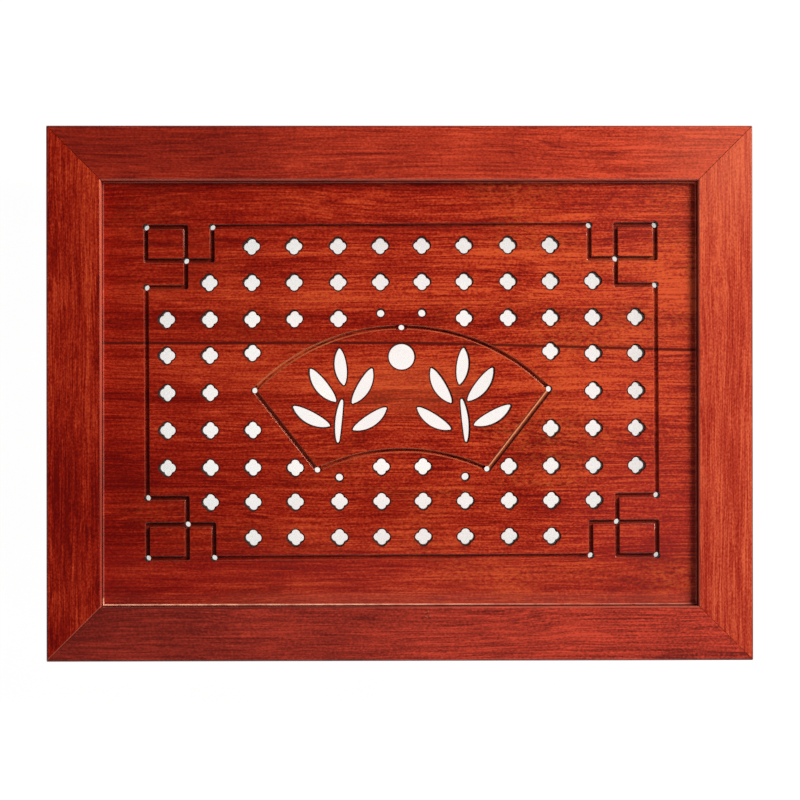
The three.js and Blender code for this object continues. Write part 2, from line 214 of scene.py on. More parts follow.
# ------------------------------------------------------------------ procedural materials
class Nodes:
    def __init__(self, name):
        self.mat = bpy.data.materials.new(name)
        self.mat.use_nodes = True
        self.t = self.mat.node_tree
        self.t.nodes.clear()
        self.out = self.t.nodes.new("ShaderNodeOutputMaterial")

    def new(self, kind, **props):
        n = self.t.nodes.new(kind)
        for k, v in props.items():
            setattr(n, k, v)
        return n

    def put(self, socket, value):
        if isinstance(value, bpy.types.NodeSocket):
            self.t.links.new(value, socket)
        elif value is not None:
            socket.default_value = value

    def math(self, op, a, b=None, c=None, clamp=False):
        n = self.new("ShaderNodeMath", operation=op, use_clamp=clamp)
        for s, v in zip(n.inputs, (a, b, c)):
            self.put(s, v)
        return n.outputs[0]

    def vmath(self, op, a, b=None):
        n = self.new("ShaderNodeVectorMath", operation=op)
        self.put(n.inputs[0], a)
        if b is not None:
            self.put(n.inputs[1], b)
        return n.outputs[0]

    def noise(self, vec, w, detail=2.0, rough=0.5, lac=2.0):
        n = self.new("ShaderNodeTexNoise", noise_dimensions="4D")
        self.put(n.inputs["Vector"], vec)
        self.put(n.inputs["W"], w)
        self.put(n.inputs["Scale"], 1.0)
        self.put(n.inputs["Detail"], detail)
        self.put(n.inputs["Roughness"], rough)
        self.put(n.inputs["Lacunarity"], lac)
        return n.outputs["Fac"]

    def ramp(self, value, stops, mode="LINEAR"):
        n = self.new("ShaderNodeValToRGB")
        r = n.color_ramp
        r.interpolation = mode
        while len(r.elements) < len(stops):
            r.elements.new(0.5)
        for e, (p, c) in zip(r.elements, stops):
            e.position = p
            e.color = (*c, 1.0)
        self.put(n.inputs[0], value)
        return n.outputs[0]

    def span(self, value, a, b, c=0.0, d=1.0, smooth_step=True):
        n = self.new("ShaderNodeMapRange", interpolation_type="SMOOTHSTEP" if smooth_step else "LINEAR")
        for s, v in zip(n.inputs, (value, a, b, c, d)):
            self.put(s, v)
        return n.outputs[0]

    def mix(self, fac, a, b, mode="MIX"):
        n = self.new("ShaderNodeMix", data_type="RGBA", blend_type=mode)
        self.put(n.inputs[0], fac)
        self.put(n.inputs[6], a)
        self.put(n.inputs[7], b)
        return n.outputs[2]

    def bsdf(self, **sockets):
        b = self.new("ShaderNodeBsdfPrincipled")
        for k, v in sockets.items():
            self.put(b.inputs[k.replace("_", " ")], v)
        self.t.links.new(b.outputs[0], self.out.inputs[0])
        return self.mat

    def bump(self, height, distance, strength=1.0):
        n = self.new("ShaderNodeBump")
        self.put(n.inputs["Strength"], strength)
        self.put(n.inputs["Distance"], distance)
        self.put(n.inputs["Height"], height)
        return n.outputs[0]

    def mm(self, turn=0.0):
        """Object coordinates in millimetres, turned about Z so that x runs along the grain."""
        tc = self.new("ShaderNodeTexCoord")
        m = self.new("ShaderNodeMapping")
        self.put(m.inputs["Vector"], tc.outputs["Object"])
        m.inputs["Rotation"].default_value = (0, 0, turn)
        m.inputs["Scale"].default_value = (1000, 1000, 1000)
        return m.outputs[0]


def rgb(h):
    """sRGB 0-255 to linear."""
    out = []
    for c in h:
        c /= 255
        out.append(c / 12.92 if c <= 0.04045 else ((c + 0.055) / 1.055) ** 2.4)
    return tuple(out)


TONES = [(0.130, 0.0013, 0.0008), (0.262, 0.0090, 0.0027), (0.400, 0.0300, 0.0106), (0.610, 0.0850, 0.0260)]
# The back and front rails' tones carry more green and blue for a pinker cast: partly their own tone, partly a painted
# sheen of reflected light.
BACK_TONES = [(0.130, 0.0058, 0.0040), (0.262, 0.0175, 0.0092), (0.400, 0.0350, 0.0160), (0.610, 0.0740, 0.0340)]
FRONT_TONES = [(0.130, 0.0105, 0.0080), (0.262, 0.0240, 0.0165), (0.400, 0.0395, 0.0245), (0.610, 0.0670, 0.0380)]
# growth bands of the panel: middle, half width, how much lighter at the left end, in the middle and at the right end.
# The first two darken the strip along the back rail: partly the wood's own tone, partly a painted shadow of that rail.
GROWTH = [
    (132.0, 5.0, -0.07, -0.16, -0.03), (120.5, 14.0, -0.12, -0.06, 0.0), (109.0, 7.0, -0.17, -0.09, -0.06), (90.5, 5.0, 0.07, 0.10, 0.0),
    (62.0, 10.0, 0.09, 0.12, 0.14), (47.0, 7.5, -0.16, -0.12, -0.16), (18.5, 15.0, 0.05, 0.20, 0.05), (5.0, 6.0, -0.05, 0.14, 0.02),
    (-2.0, 5.5, -0.20, -0.12, 0.01), (-17.0, 12.0, 0.0, 0.05, 0.0), (-52.0, 26.0, -0.16, 0.05, 0.05), (-66.0, 9.0, -0.14, -0.03, 0.0),
    (-90.0, 18.0, -0.27, -0.03, -0.10), (-105.0, 9.0, -0.16, -0.08, -0.13), (-126.0, 12.0, -0.10, 0.06, 0.0), (-129.5, 4.5, 0.14, 0.06, 0.10),
]
# softer patches of the panel and rails: middle, half length, half width, how much lighter
PANEL_SPOTS = [
    (72.0, -28.0, 34.0, 28.0, -0.12), (110.0, 30.0, 26.0, 18.0, -0.11), (26.0, -40.0, 24.0, 14.0, -0.14),
    (-142.0, -6.0, 22.0, 18.0, -0.11), (68.0, -74.0, 22.0, 6.0, 0.10), (174.0, 28.0, 14.0, 10.0, 0.14),
    (148.0, 97.0, 24.0, 9.0, -0.14), (74.0, 14.0, 28.0, 8.0, -0.13),
]
# single darker streaks of the panel: both ends, half width, how much darker
PANEL_STREAKS = [
    (-189.0, 86.5, -160.0, 86.8, 1.3, 0.16), (-189.0, 95.4, -76.0, 94.2, 2.4, 0.10), (-166.0, 78.1, 87.0, 75.0, 1.0, 0.09),
    (-63.5, 83.9, 150.0, 72.5, 1.6, 0.10), (-189.0, 24.9, -150.0, 23.0, 0.9, 0.16), (53.0, -55.8, 116.0, -75.0, 4.0, 0.10),
    (-179.5, -129.5, -121.8, -119.9, 1.6, 0.12), (-189.0, -81.5, -163.5, -73.0, 1.6, 0.12), (19.8, 127.0, 154.0, 125.0, 2.0, 0.06),
    (20.0, 93.5, 93.5, 92.9, 2.0, 0.10), (132.0, 76.0, 186.0, 66.0, 1.2, 0.12),
]
FRONT_SPOTS = [(80.0, -152.0, 20.0, 22.0, -0.08), (110.0, -152.0, 26.0, 22.0, 0.10), (178.0, -152.0, 22.0, 22.0, -0.08)]
LEFT_SPOTS = [(-203.0, -138.0, 24.0, 30.0, 0.14)]


def wood(name, turn=0.0, seed=0.0, tones=TONES, fleck=1.0, panel=False, rail="", gloss=1.0, band=1.0, figured=1.0, dash=0.10, tint=(1.0, 1.0, 1.0), lean=(0.0, 0.0, 0.0), fall=(0.0, 0.0), spots=(), soft=1.05):
    """Red-stained, lacquered hardwood with ribbon figure, growth rings, long streaks and short pores; x is the grain.

    rail names the side of the frame and soft the radius of its inner arris. lean makes the piece lighter all over,
    towards its left end and towards its right end, fall towards the back and towards the front; these end and side
    changes are painted light and shade, lighter towards the key light at the back right and darker away from it."""
    N = Nodes(name)
    base = N.mm()
    p = N.mm(turn) if turn else base
    sep = N.new("ShaderNodeSeparateXYZ")
    N.put(sep.inputs[0], base)
    x, y, z = sep.outputs
    tones = [tuple(c * t for c, t in zip(tone, tint)) for tone in tones]

    def near(cx, cy, rx, ry, full=0.35, none=1.1):
        d = N.new("ShaderNodeVectorMath", operation="LENGTH")
        N.put(d.inputs[0], N.vmath("MULTIPLY", N.vmath("SUBTRACT", base, (cx, cy, 0.0)), (1 / rx, 1 / ry, 0.0)))
        return N.span(d.outputs["Value"], full, none, 1.0, 0.0)

    # the grain wanders a little
    w1 = N.noise(N.vmath("MULTIPLY", p, (0.006, 0.022, 0.022)), seed + 3.1, 1.0)
    w2 = N.noise(N.vmath("MULTIPLY", p, (0.03, 0.12, 0.12)), seed + 7.7, 1.0)
    dy = N.math("ADD", N.math("MULTIPLY", N.math("SUBTRACT", w1, 0.5), 14.0), N.math("MULTIPLY", N.math("SUBTRACT", w2, 0.5), 2.0))
    push = N.new("ShaderNodeCombineXYZ")
    N.put(push.inputs["Y"], dy)
    N.put(push.inputs["Z"], dy)
    g = N.vmath("ADD", p, push.outputs[0])
    bands = N.noise(N.vmath("MULTIPLY", g, (0.0016, 0.042, 0.042)), seed + 11.0, 1.0, 0.5)
    ribbon = N.noise(N.vmath("MULTIPLY", g, (0.0040, 0.15, 0.15)), seed + 17.0, 1.0, 0.5)
    streak = N.noise(N.vmath("MULTIPLY", g, (0.006, 0.38, 0.38)), seed + 23.0, 2.0, 0.6)
    fine = N.noise(N.vmath("MULTIPLY", g, (0.024, 1.10, 1.10)), seed + 29.0, 1.0, 0.6)
    figure = N.noise(N.vmath("MULTIPLY", p, (0.017, 0.026, 0.026)), seed + 31.0, 2.0, 0.5)
    speck = N.noise(N.vmath("MULTIPLY", g, (0.62, 1.00, 1.00)), seed + 37.0, 1.0, 0.6)
    # growth rings darken slowly and stop sharply, and come and go
    ring = N.math("FRACT", N.math("MULTIPLY", N.noise(N.vmath("MULTIPLY", g, (0.0042, 0.13, 0.13)), seed + 67.0, 1.0, 0.5), 9.0))
    late = N.span(ring, 0.45, 1.0, 0.275, -0.725, False)
    clear = N.span(N.noise(N.vmath("MULTIPLY", p, (0.012, 0.030, 0.030)), seed + 71.0, 1.0), 0.35, 0.62, 0.25, 1.0)
    # the grain stands out more towards the right: painted to follow the stronger light there
    show = N.span(x, -190.0, 190.0, 0.8, 1.45, False)
    grain = N.math("MULTIPLY", N.math("MULTIPLY", late, clear), 0.17 * fleck)
    grain = N.math("MULTIPLY_ADD", N.math("SUBTRACT", streak, 0.5), 0.44 * fleck, grain)
    grain = N.math("MULTIPLY_ADD", N.math("SUBTRACT", fine, 0.5), 1.12 * fleck, grain)
    grain = N.math("MULTIPLY_ADD", N.math("SUBTRACT", speck, 0.5), 0.98 * fleck, grain)
    f = N.math("MULTIPLY_ADD", N.math("SUBTRACT", bands, 0.5), 0.55 * band, 0.5 + lean[0])
    f = N.math("MULTIPLY_ADD", N.math("SUBTRACT", ribbon, 0.5), 0.36 * band, f)
    f = N.math("MULTIPLY_ADD", N.math("SUBTRACT", figure, 0.5), 0.55 * figured, f)
    f = N.math("MULTIPLY_ADD", grain, show, f)
    for cx, cy, rx, ry, more in spots:
        f = N.math("MULTIPLY_ADD", near(cx, cy, rx, ry), more, f)
    if dash:
        dashes = N.noise(N.vmath("MULTIPLY", g, (0.085, 0.42, 0.42)), seed + 43.0, 1.0)
        f = N.math("MULTIPLY_ADD", N.math("SUBTRACT", dashes, 0.5), dash, f)
    # painted light and shade: fall and the ends of lean lighten and darken the piece towards the back, front, left and
    # right
    if fall[0] or fall[1]:
        f = N.math("ADD", f, N.math("ADD", N.span(y, -10.0, 100.0, 0.0, fall[0]), N.span(y, 20.0, -75.0, 0.0, fall[1])))
    if lean[1] or lean[2]:
        f = N.math("ADD", f, N.math("ADD", N.span(x, -200.0, 0.0, lean[1], 0.0, False), N.span(x, 0.0, 200.0, 0.0, lean[2], False)))
    if panel:
        drift = N.math("MULTIPLY_ADD", dy, 0.35, y)
        for mid, half, left, centre, right in GROWTH:
            hump = N.span(N.math("ABSOLUTE", N.math("SUBTRACT", drift, mid)), half * 0.25, half, 1.0, 0.0)
            weight = N.math("ADD", N.span(x, -170.0, -60.0, left, centre, False), N.span(x, 60.0, 170.0, 0.0, right - centre, False))
            f = N.math("MULTIPLY_ADD", hump, weight, f)
        for ax, ay, bx, by, half, less in PANEL_STREAKS:
            k = math.hypot(bx - ax, by - ay)
            ux, uy = (bx - ax) / k, (by - ay) / k
            along = N.math("MULTIPLY_ADD", x, ux, N.math("MULTIPLY_ADD", y, uy, -ax * ux - ay * uy))
            across = N.math("MULTIPLY_ADD", x, -uy, N.math("MULTIPLY_ADD", y, ux, ax * uy - ay * ux))
            wide = N.span(N.math("ABSOLUTE", N.math("MULTIPLY_ADD", dy, 0.12, across)), half * 0.3, half * 1.3, -less, 0.0)
            ends = N.math("MULTIPLY", N.span(along, 0.0, k * 0.15, 0.0, 1.0), N.span(along, k * 0.75, k, 1.0, 0.0))
            f = N.math("MULTIPLY_ADD", wide, ends, f)
        # a darker strip below one growth line, and a lighter end
        strip = N.math("MULTIPLY", N.span(drift, -13.0, -15.0, 0.0, 1.0), N.span(drift, -50.0, -36.0, 0.0, 1.0))
        f = N.math("MULTIPLY_ADD", strip, N.span(x, 40.0, 130.0, -0.03, -0.14), f)
        end = N.math("MULTIPLY", N.span(x, 150.0, 168.0, 0.0, 0.20), N.span(N.math("ABSOLUTE", N.math("SUBTRACT", drift, 63.0)), 9.0, 28.0, 1.0, 0.0))
        f = N.math("ADD", f, end)
        f = N.math("MULTIPLY_ADD", N.span(x, 110.0, 165.0, 0.0, 1.0), N.span(y, -78.0, -110.0, 0.0, -0.15), f)
    f = N.math("ADD", f, 0.0, clamp=True)
    colour = N.ramp(f, list(zip((0.10, 0.38, 0.60, 0.92), tones)))
    # short dark pores along the grain
    pores = N.noise(N.vmath("MULTIPLY", g, (0.12, 1.10, 1.10)), seed + 41.0, 1.0)
    dark = N.span(pores, 0.56, 0.76, 0.0, 0.30 * fleck)
    colour = N.mix(dark, colour, tuple(c * t for c, t in zip((0.105, 0.0022, 0.0012), tint)) + (1.0,))
    if panel:
        # paler and pinker towards the right, a painted sheen of the key light, and paler towards the front
        sheen_and_pale = N.math("MAXIMUM", N.span(x, 60.0, 190.0, 0.0, 0.10), N.math("MULTIPLY", N.span(y, -70.0, -130.0, 0.0, 0.08), N.span(x, -150.0, -40.0, 0.0, 1.0)))
        colour = N.mix(sheen_and_pale, colour, (0.44, 0.088, 0.078, 1.0))
        # paler in a strip along the front edge
        front_strip = N.math("MULTIPLY", N.span(y, -125.0, -131.0, 0.0, 0.17), N.span(x, -150.0, -40.0, 0.3, 1.0))
        colour = N.mix(front_strip, colour, (0.55, 0.150, 0.110, 1.0))
        wine = N.math("MAXIMUM", N.math("MULTIPLY", near(165.0, -95.0, 80.0, 65.0), 0.20), N.span(y, -92.0, -112.0, 0.0, 0.11))
        colour = N.mix(wine, colour, (0.34, 0.020, 0.024, 1.0))
        colour = N.mix(N.math("MULTIPLY", near(6.0, 3.0, 55.0, 22.0), 0.12), colour, (0.66, 0.165, 0.055, 1.0))
        # golden flecks in patches
        patch = N.span(N.noise(N.vmath("MULTIPLY", p, (0.016, 0.030, 0.030)), seed + 53.0, 1.0), 0.46, 0.66, 0.0, 1.0)
        speckle = N.span(N.noise(N.vmath("MULTIPLY", g, (0.34, 0.75, 0.75)), seed + 59.0, 2.0, 0.6), 0.42, 0.66, 0.0, 1.0)
        gold = N.math("MULTIPLY", N.math("MULTIPLY", patch, speckle), N.span(x, -120.0, 120.0, 0.10, 0.42))
        colour = N.mix(gold, colour, (0.66, 0.130, 0.032, 1.0))
        # one dark growth line right across the panel, with a soft painted shadow above it
        mid = N.math("MULTIPLY_ADD", N.math("MAXIMUM", N.math("SUBTRACT", x, 10.0), 0.0), -0.028, 32.3)
        away = N.math("SUBTRACT", N.math("MULTIPLY_ADD", dy, 0.05, y), mid)
        core = N.span(N.math("ABSOLUTE", away), 0.4, 1.35, 1.0, 0.0)
        above = N.math("MULTIPLY", N.span(away, -0.5, 0.6, 0.0, 1.0), N.span(away, 1.0, 8.0, 1.0, 0.0))
        vein = N.math("MAXIMUM", N.math("MULTIPLY", core, 0.92), N.math("MULTIPLY", above, N.span(x, 60.0, 150.0, 0.16, 0.05)))
        colour = N.mix(vein, colour, (0.075, 0.0045, 0.0035, 1.0))
        # the cuts' arrises are paler: rubbed, and a painted highlight where the light catches them
        side = N.math("MULTIPLY", N.span(z, PANEL_TOP - 0.02, PANEL_TOP - 0.10, 0.0, 0.42), N.span(z, PANEL_TOP - 0.50, PANEL_TOP - 0.28, 0.0, 1.0))
        colour = N.mix(side, colour, (0.60, 0.190, 0.095, 1.0))
        # a patchy painted highlight on the cove at the front edge
        cove = N.span(z, PANEL_TOP + 0.04, PANEL_TOP + 0.16, 0.0, 1.0)
        uneven = N.span(N.noise(N.vmath("MULTIPLY", base, (0.16, 0.16, 0.16)), 9.0, 2.0), 0.36, 0.58, 0.45, 1.0)
        bright = N.math("MULTIPLY", N.math("MULTIPLY", N.span(y, -129.5, -131.5, 0.06, 1.0), N.span(x, -60.0, 130.0, 0.85, 0.20)), uneven)
        colour = N.mix(N.math("MULTIPLY", cove, bright), colour, (0.95, 0.500, 0.380, 1.0))
        # the cuts' floors are darker, most in the corners' key pattern: a little stain, and painted shade in these
        # recesses
        key = N.math("MULTIPLY", N.span(N.math("ABSOLUTE", x), 112.0, 117.0, 0.0, 1.0), N.span(N.math("ABSOLUTE", y), 62.0, 68.0, 0.0, 1.0))
        floor_stain_and_shade = N.math("MULTIPLY", N.span(z, PANEL_TOP - 0.5, PANEL_TOP - 1.2, 0.0, 1.0), N.math("MULTIPLY_ADD", key, 0.40, 0.14))
        colour = N.mix(floor_stain_and_shade, colour, (0.040, 0.0050, 0.0035, 1.0))
    if rail:
        # painted shade on the outer arris, darker where its rounding turns down from the light
        out = N.math("MINIMUM", N.math("SUBTRACT", TRAY_L / 2, N.math("ABSOLUTE", x)), N.math("SUBTRACT", TRAY_W / 2, N.math("ABSOLUTE", y)))
        arris = N.math("MULTIPLY", N.span(out, 0.35, 1.55, 0.72, 0.0), N.span(z, TOP_Z - 3.0, TOP_Z - 1.4, 0.0, 1.0))
        colour = N.mix(arris, colour, (0.045, 0.0055, 0.0040, 1.0))
        # and paler along the inner one, least at the front left, where the crease is dark: rubbed, and a painted
        # highlight where the light catches that arris
        inn = N.math("MAXIMUM", N.math("SUBTRACT", N.math("ABSOLUTE", x), TRAY_L / 2 - RAIL_W), N.math("SUBTRACT", N.math("ABSOLUTE", y), TRAY_W / 2 - RAIL_W))
        much = N.span(x, -150.0, 130.0, 0.0, 0.42) if rail == "front" else N.span(y, -110.0, 90.0, 0.12, 0.42) if rail == "left" else N.span(x, -20.0, 180.0, 0.48, 0.30) if rail == "back" else 0.30
        rub_and_highlight = N.math("MULTIPLY", N.span(inn, 0.3 * soft, 0.9 * soft, 1.0, 0.0), N.span(z, TOP_Z - 3.2, TOP_Z - 1.6, 0.0, 1.0))
        colour = N.mix(N.math("MULTIPLY", rub_and_highlight, much), colour, (0.58, 0.160, 0.105, 1.0))
        if rail in ("back", "left"):
            # painted light: these two inner walls are painted paler, for the light that falls on them
            wall = N.math("MULTIPLY", N.span(z, TOP_Z - 6.4, TOP_Z - 5.2, 0.0, 1.0), N.span(z, TOP_Z - 0.6, TOP_Z - 1.2, 0.0, 1.0))
            wall = N.math("MULTIPLY", wall, N.span(inn, 0.10, 0.45, 1.0, 0.0))
            colour = N.mix(N.math("MULTIPLY", wall, 1.0 if rail == "back" else N.span(y, -110.0, 90.0, 0.3, 0.9)), colour, (0.95, 0.220, 0.140, 1.0) if rail == "back" else (0.85, 0.180, 0.115, 1.0))
        if rail == "front":
            crease = N.span(N.math("SUBTRACT", inn, N.span(x, -150.0, 20.0, 0.7, 0.0)), 0.35, 0.90, 1.0, 0.0)
            crease = N.math("MULTIPLY", crease, N.span(z, TOP_Z - 7.0, TOP_Z - 5.5, 0.0, 1.0))
            colour = N.mix(N.math("MULTIPLY", crease, N.span(x, -60.0, 130.0, 0.85, 0.35)), colour, (0.110, 0.0050, 0.0030, 1.0))
            # a pin knot near the inner edge
            knot = near(17.3, -141.5, 3.2, 4.8, 0.2, 1.0)
            mottle = N.noise(N.vmath("MULTIPLY", base, (0.8, 0.8, 0.8)), 91.0, 1.0)
            colour = N.mix(N.math("MULTIPLY", knot, N.span(mottle, 0.46, 0.60, 0.0, 0.6)), colour, (0.090, 0.0120, 0.0060, 1.0))
            colour = N.mix(N.math("MULTIPLY", knot, N.span(mottle, 0.46, 0.34, 0.0, 0.5)), colour, (0.620, 0.2200, 0.1400, 1.0))
        if rail in ("back", "right"):
            # painted light: paler and pinker round the back right corner, nearest the key light
            colour = N.mix(N.math("MULTIPLY", near(212.0, 158.0, 75.0, 75.0, 0.1, 1.1), 0.17), colour, (0.66, 0.195, 0.125, 1.0))
        if rail == "left":
            # a pale line along the front mitre
            mitre = N.math("SUBTRACT", N.math("SUBTRACT", N.math("ABSOLUTE", x), TRAY_L / 2), N.math("SUBTRACT", N.math("ABSOLUTE", y), TRAY_W / 2))
            line = N.math("MULTIPLY", N.span(N.math("ABSOLUTE", mitre), 0.5, 1.3, 0.5, 0.0), N.span(y, -60.0, -90.0, 0.0, 1.0))
            colour = N.mix(line, colour, (0.56, 0.150, 0.105, 1.0))
    height = N.math("MULTIPLY_ADD", fine, 0.5, N.math("MULTIPLY", dark, -0.9))
    rough = N.span(f, 0.0, 1.0, 0.34 / gloss, 0.27 / gloss, False)
    if panel:
        rough = N.math("ADD", rough, N.span(z, PANEL_TOP + 0.04, PANEL_TOP + 0.16, 0.0, 0.30))
    return N.bsdf(
        Base_Color=colour, Roughness=rough, Coat_Weight=0.3, Coat_Roughness=0.16, Coat_IOR=1.5, IOR=1.5,
        Specular_IOR_Level=0.4, Normal=N.bump(height, 0.00010, 0.4),
    )


def cut_wood(name):
    """Stained end grain and side grain inside the drilled holes, painted nearly black so that it also stands in for the
    shade inside them.
    """
    N = Nodes(name)
    p = N.mm()
    grain = N.noise(N.vmath("MULTIPLY", p, (0.15, 1.2, 1.2)), 4.0, 3.0, 0.6)
    colour = N.ramp(grain, [(0.3, (0.008, 0.0020, 0.0016)), (0.7, (0.026, 0.0050, 0.0034))])
    sep = N.new("ShaderNodeSeparateXYZ")
    N.put(sep.inputs[0], p)
    colour = N.mix(N.span(sep.outputs[2], PANEL_TOP - 0.35, PANEL_TOP - 0.02, 0.0, 0.8), colour, (0.110, 0.0120, 0.0070, 1.0))
    rough = N.span(grain, 0.3, 0.7, 0.66, 0.52, False)
    return N.bsdf(Base_Color=colour, Roughness=rough, Specular_IOR_Level=0.08, Normal=N.bump(grain, 0.0001, 0.4))


def pale_wood(name):
    """Barer, paler wood along the fan's grooves, under lacquer, with painted light and shade: paler along the lit left
    part of the outer arc, darker down the shaded left side, lips partly a painted highlight, and down the right side a
    thin pale line of barer wood and painted highlight between two painted-shade edges.
    """
    N = Nodes(name)
    p = N.mm()
    sep = N.new("ShaderNodeSeparateXYZ")
    N.put(sep.inputs[0], p)
    x, y, z = sep.outputs
    grain = N.noise(N.vmath("MULTIPLY", p, (0.06, 0.9, 0.9)), 3.0, 3.0, 0.6)
    blotch = N.noise(N.vmath("MULTIPLY", p, (0.09, 0.09, 0.09)), 6.0, 2.0)
    f = N.math("MULTIPLY_ADD", N.math("SUBTRACT", blotch, 0.5), 0.8, grain)
    colour = N.ramp(f, [(0.25, (0.28, 0.034, 0.013)), (0.5, (0.40, 0.068, 0.026)), (0.75, (0.52, 0.120, 0.048))])
    # painted light: paler tan along the left part of the outer arc, which the light runs along
    tan = N.math("MULTIPLY", N.span(x, -25.0, -48.0, 0.0, 0.75), N.span(y, 1.0, 4.0, 0.0, 1.0))
    colour = N.mix(tan, colour, (0.54, 0.175, 0.070, 1.0))
    # painted shade: darker maroon down the fan's left side, which lies across the light
    left_side_shade = N.math("MULTIPLY", N.span(x, -52.0, -56.0, 0.0, 0.7), N.span(y, 4.0, 1.0, 0.0, 1.0))
    colour = N.mix(left_side_shade, colour, (0.27, 0.022, 0.010, 1.0))
    # the lips are paler: rubbed, and a painted highlight
    lip = N.math("MULTIPLY", N.span(z, PANEL_TOP - 0.7, PANEL_TOP - 0.3, 0.0, 0.7), N.span(z, PANEL_TOP - 0.02, PANEL_TOP - 0.12, 0.2, 1.0))
    colour = N.mix(lip, colour, (0.56, 0.190, 0.095, 1.0))
    # distance from the right side's middle line
    c, q = shift([(FAN_X, FAN_Y), (FAN_XB, FAN_YB)])
    ux, uy = q[0] - c[0], q[1] - c[1]
    k = math.hypot(ux, uy)
    off = N.math("ADD", N.math("MULTIPLY", x, -uy / k), N.math("MULTIPLY_ADD", y, ux / k, (c[0] * uy - c[1] * ux) / k))
    side = N.math("MULTIPLY", N.span(x, 52.0, 56.0, 0.0, 1.0), N.span(y, 4.0, 1.0, 0.0, 1.0))
    # painted shade: the right side's two edges are darker
    edges = N.math("MAXIMUM", N.span(off, 0.3, 1.3, 0.0, 0.72), N.span(off, -0.62, -1.00, 0.0, 0.88))
    colour = N.mix(N.math("MULTIPLY", side, edges), colour, (0.080, 0.0090, 0.0055, 1.0))
    # a thin pale line down the right side: barer wood and a painted highlight
    bare_and_glint = N.math("MULTIPLY", N.math("MULTIPLY", side, 0.85), N.span(N.math("ABSOLUTE", N.math("ADD", off, 0.20)), 0.10, 0.48, 1.0, 0.0))
    colour = N.mix(bare_and_glint, colour, (0.90, 0.460, 0.260, 1.0))
    rough = N.span(grain, 0.3, 0.7, 0.42, 0.32, False)
    return N.bsdf(Base_Color=colour, Roughness=rough, Coat_Weight=0.3, Coat_Roughness=0.2, Normal=N.bump(grain, 0.0001, 0.4))


def plain_wood(name, turn=0.0, seed=0.0):
    """Oiled, unstained hardwood of the hidden pieces."""
    return wood(name, turn, seed, [(0.070, 0.016, 0.006), (0.162, 0.045, 0.016), (0.255, 0.080, 0.027), (0.39, 0.143, 0.054)], fleck=0.7, gloss=0.8)


def plastic(name):
    """White moulded polypropylene: faint flow marks and a fine satin texture."""
    N = Nodes(name)
    p = N.mm()
    flow = N.noise(N.vmath("MULTIPLY", p, (0.012, 0.02, 0.03)), 2.0, 3.0)
    grit = N.noise(N.vmath("MULTIPLY", p, (2.2, 2.2, 2.2)), 5.0, 2.0)
    scuff = N.noise(N.vmath("MULTIPLY", p, (0.5, 0.05, 0.3)), 9.0, 3.0, 0.7)
    colour = N.ramp(flow, [(0.3, (0.82, 0.82, 0.8)), (0.7, (0.9, 0.9, 0.885))])
    rough = N.span(N.math("MULTIPLY_ADD", scuff, 0.5, N.math("MULTIPLY", grit, 0.5)), 0.3, 0.7, 0.34, 0.5, False)
    return N.bsdf(Base_Color=colour, Roughness=rough, IOR=1.49, Normal=N.bump(grit, 0.00004, 0.5))


def silicone(name, tone=(0.72, 0.72, 0.69)):
    N = Nodes(name)
    p = N.mm()
    cloud = N.noise(N.vmath("MULTIPLY", p, (0.25, 0.25, 0.25)), 1.0, 2.0)
    grit = N.noise(N.vmath("MULTIPLY", p, (3.0, 3.0, 3.0)), 4.0, 2.0)
    colour = N.mix(cloud, (tone[0] * 0.9, tone[1] * 0.9, tone[2] * 0.88, 1), (*tone, 1))
    rough = N.span(grit, 0.3, 0.7, 0.48, 0.62, False)
    return N.bsdf(Base_Color=colour, Roughness=rough, IOR=1.42, Normal=N.bump(grit, 0.00003, 0.4))


def brass(name):
    """Turned brass: fine rings from the lathe and a little tarnish."""
    N = Nodes(name)
    p = N.mm()
    sep = N.new("ShaderNodeSeparateXYZ")
    N.put(sep.inputs[0], p)
    turning = N.noise(N.vmath("MULTIPLY", p, (0.05, 9.0, 0.05)), 3.0, 2.0)
    tarnish = N.noise(N.vmath("MULTIPLY", p, (0.2, 0.2, 0.2)), 8.0, 4.0, 0.6)
    colour = N.ramp(tarnish, [(0.3, rgb((150, 112, 54))), (0.55, rgb((196, 156, 82))), (0.8, rgb((212, 176, 104)))])
    rough = N.span(tarnish, 0.3, 0.7, 0.34, 0.2, False)
    return N.bsdf(Base_Color=colour, Metallic=1.0, Roughness=rough, Normal=N.bump(turning, 0.00004, 0.5))


def rubber(name):
    N = Nodes(name)
    p = N.mm()
    grit = N.noise(N.vmath("MULTIPLY", p, (2.5, 2.5, 2.5)), 4.0, 3.0)
    colour = N.ramp(grit, [(0.3, (0.012, 0.012, 0.012)), (0.7, (0.03, 0.03, 0.03))])
    rough = N.span(grit, 0.3, 0.7, 0.55, 0.75, False)
    return N.bsdf(Base_Color=colour, Roughness=rough, Normal=N.bump(grit, 0.00005, 0.5))


def put(ob, mat, body, slot, *nodes):
    ob.data.materials.clear()
    ob.data.materials.append(mat)
    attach(ob, body)
    if nodes:
        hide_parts(*nodes)
    return ob


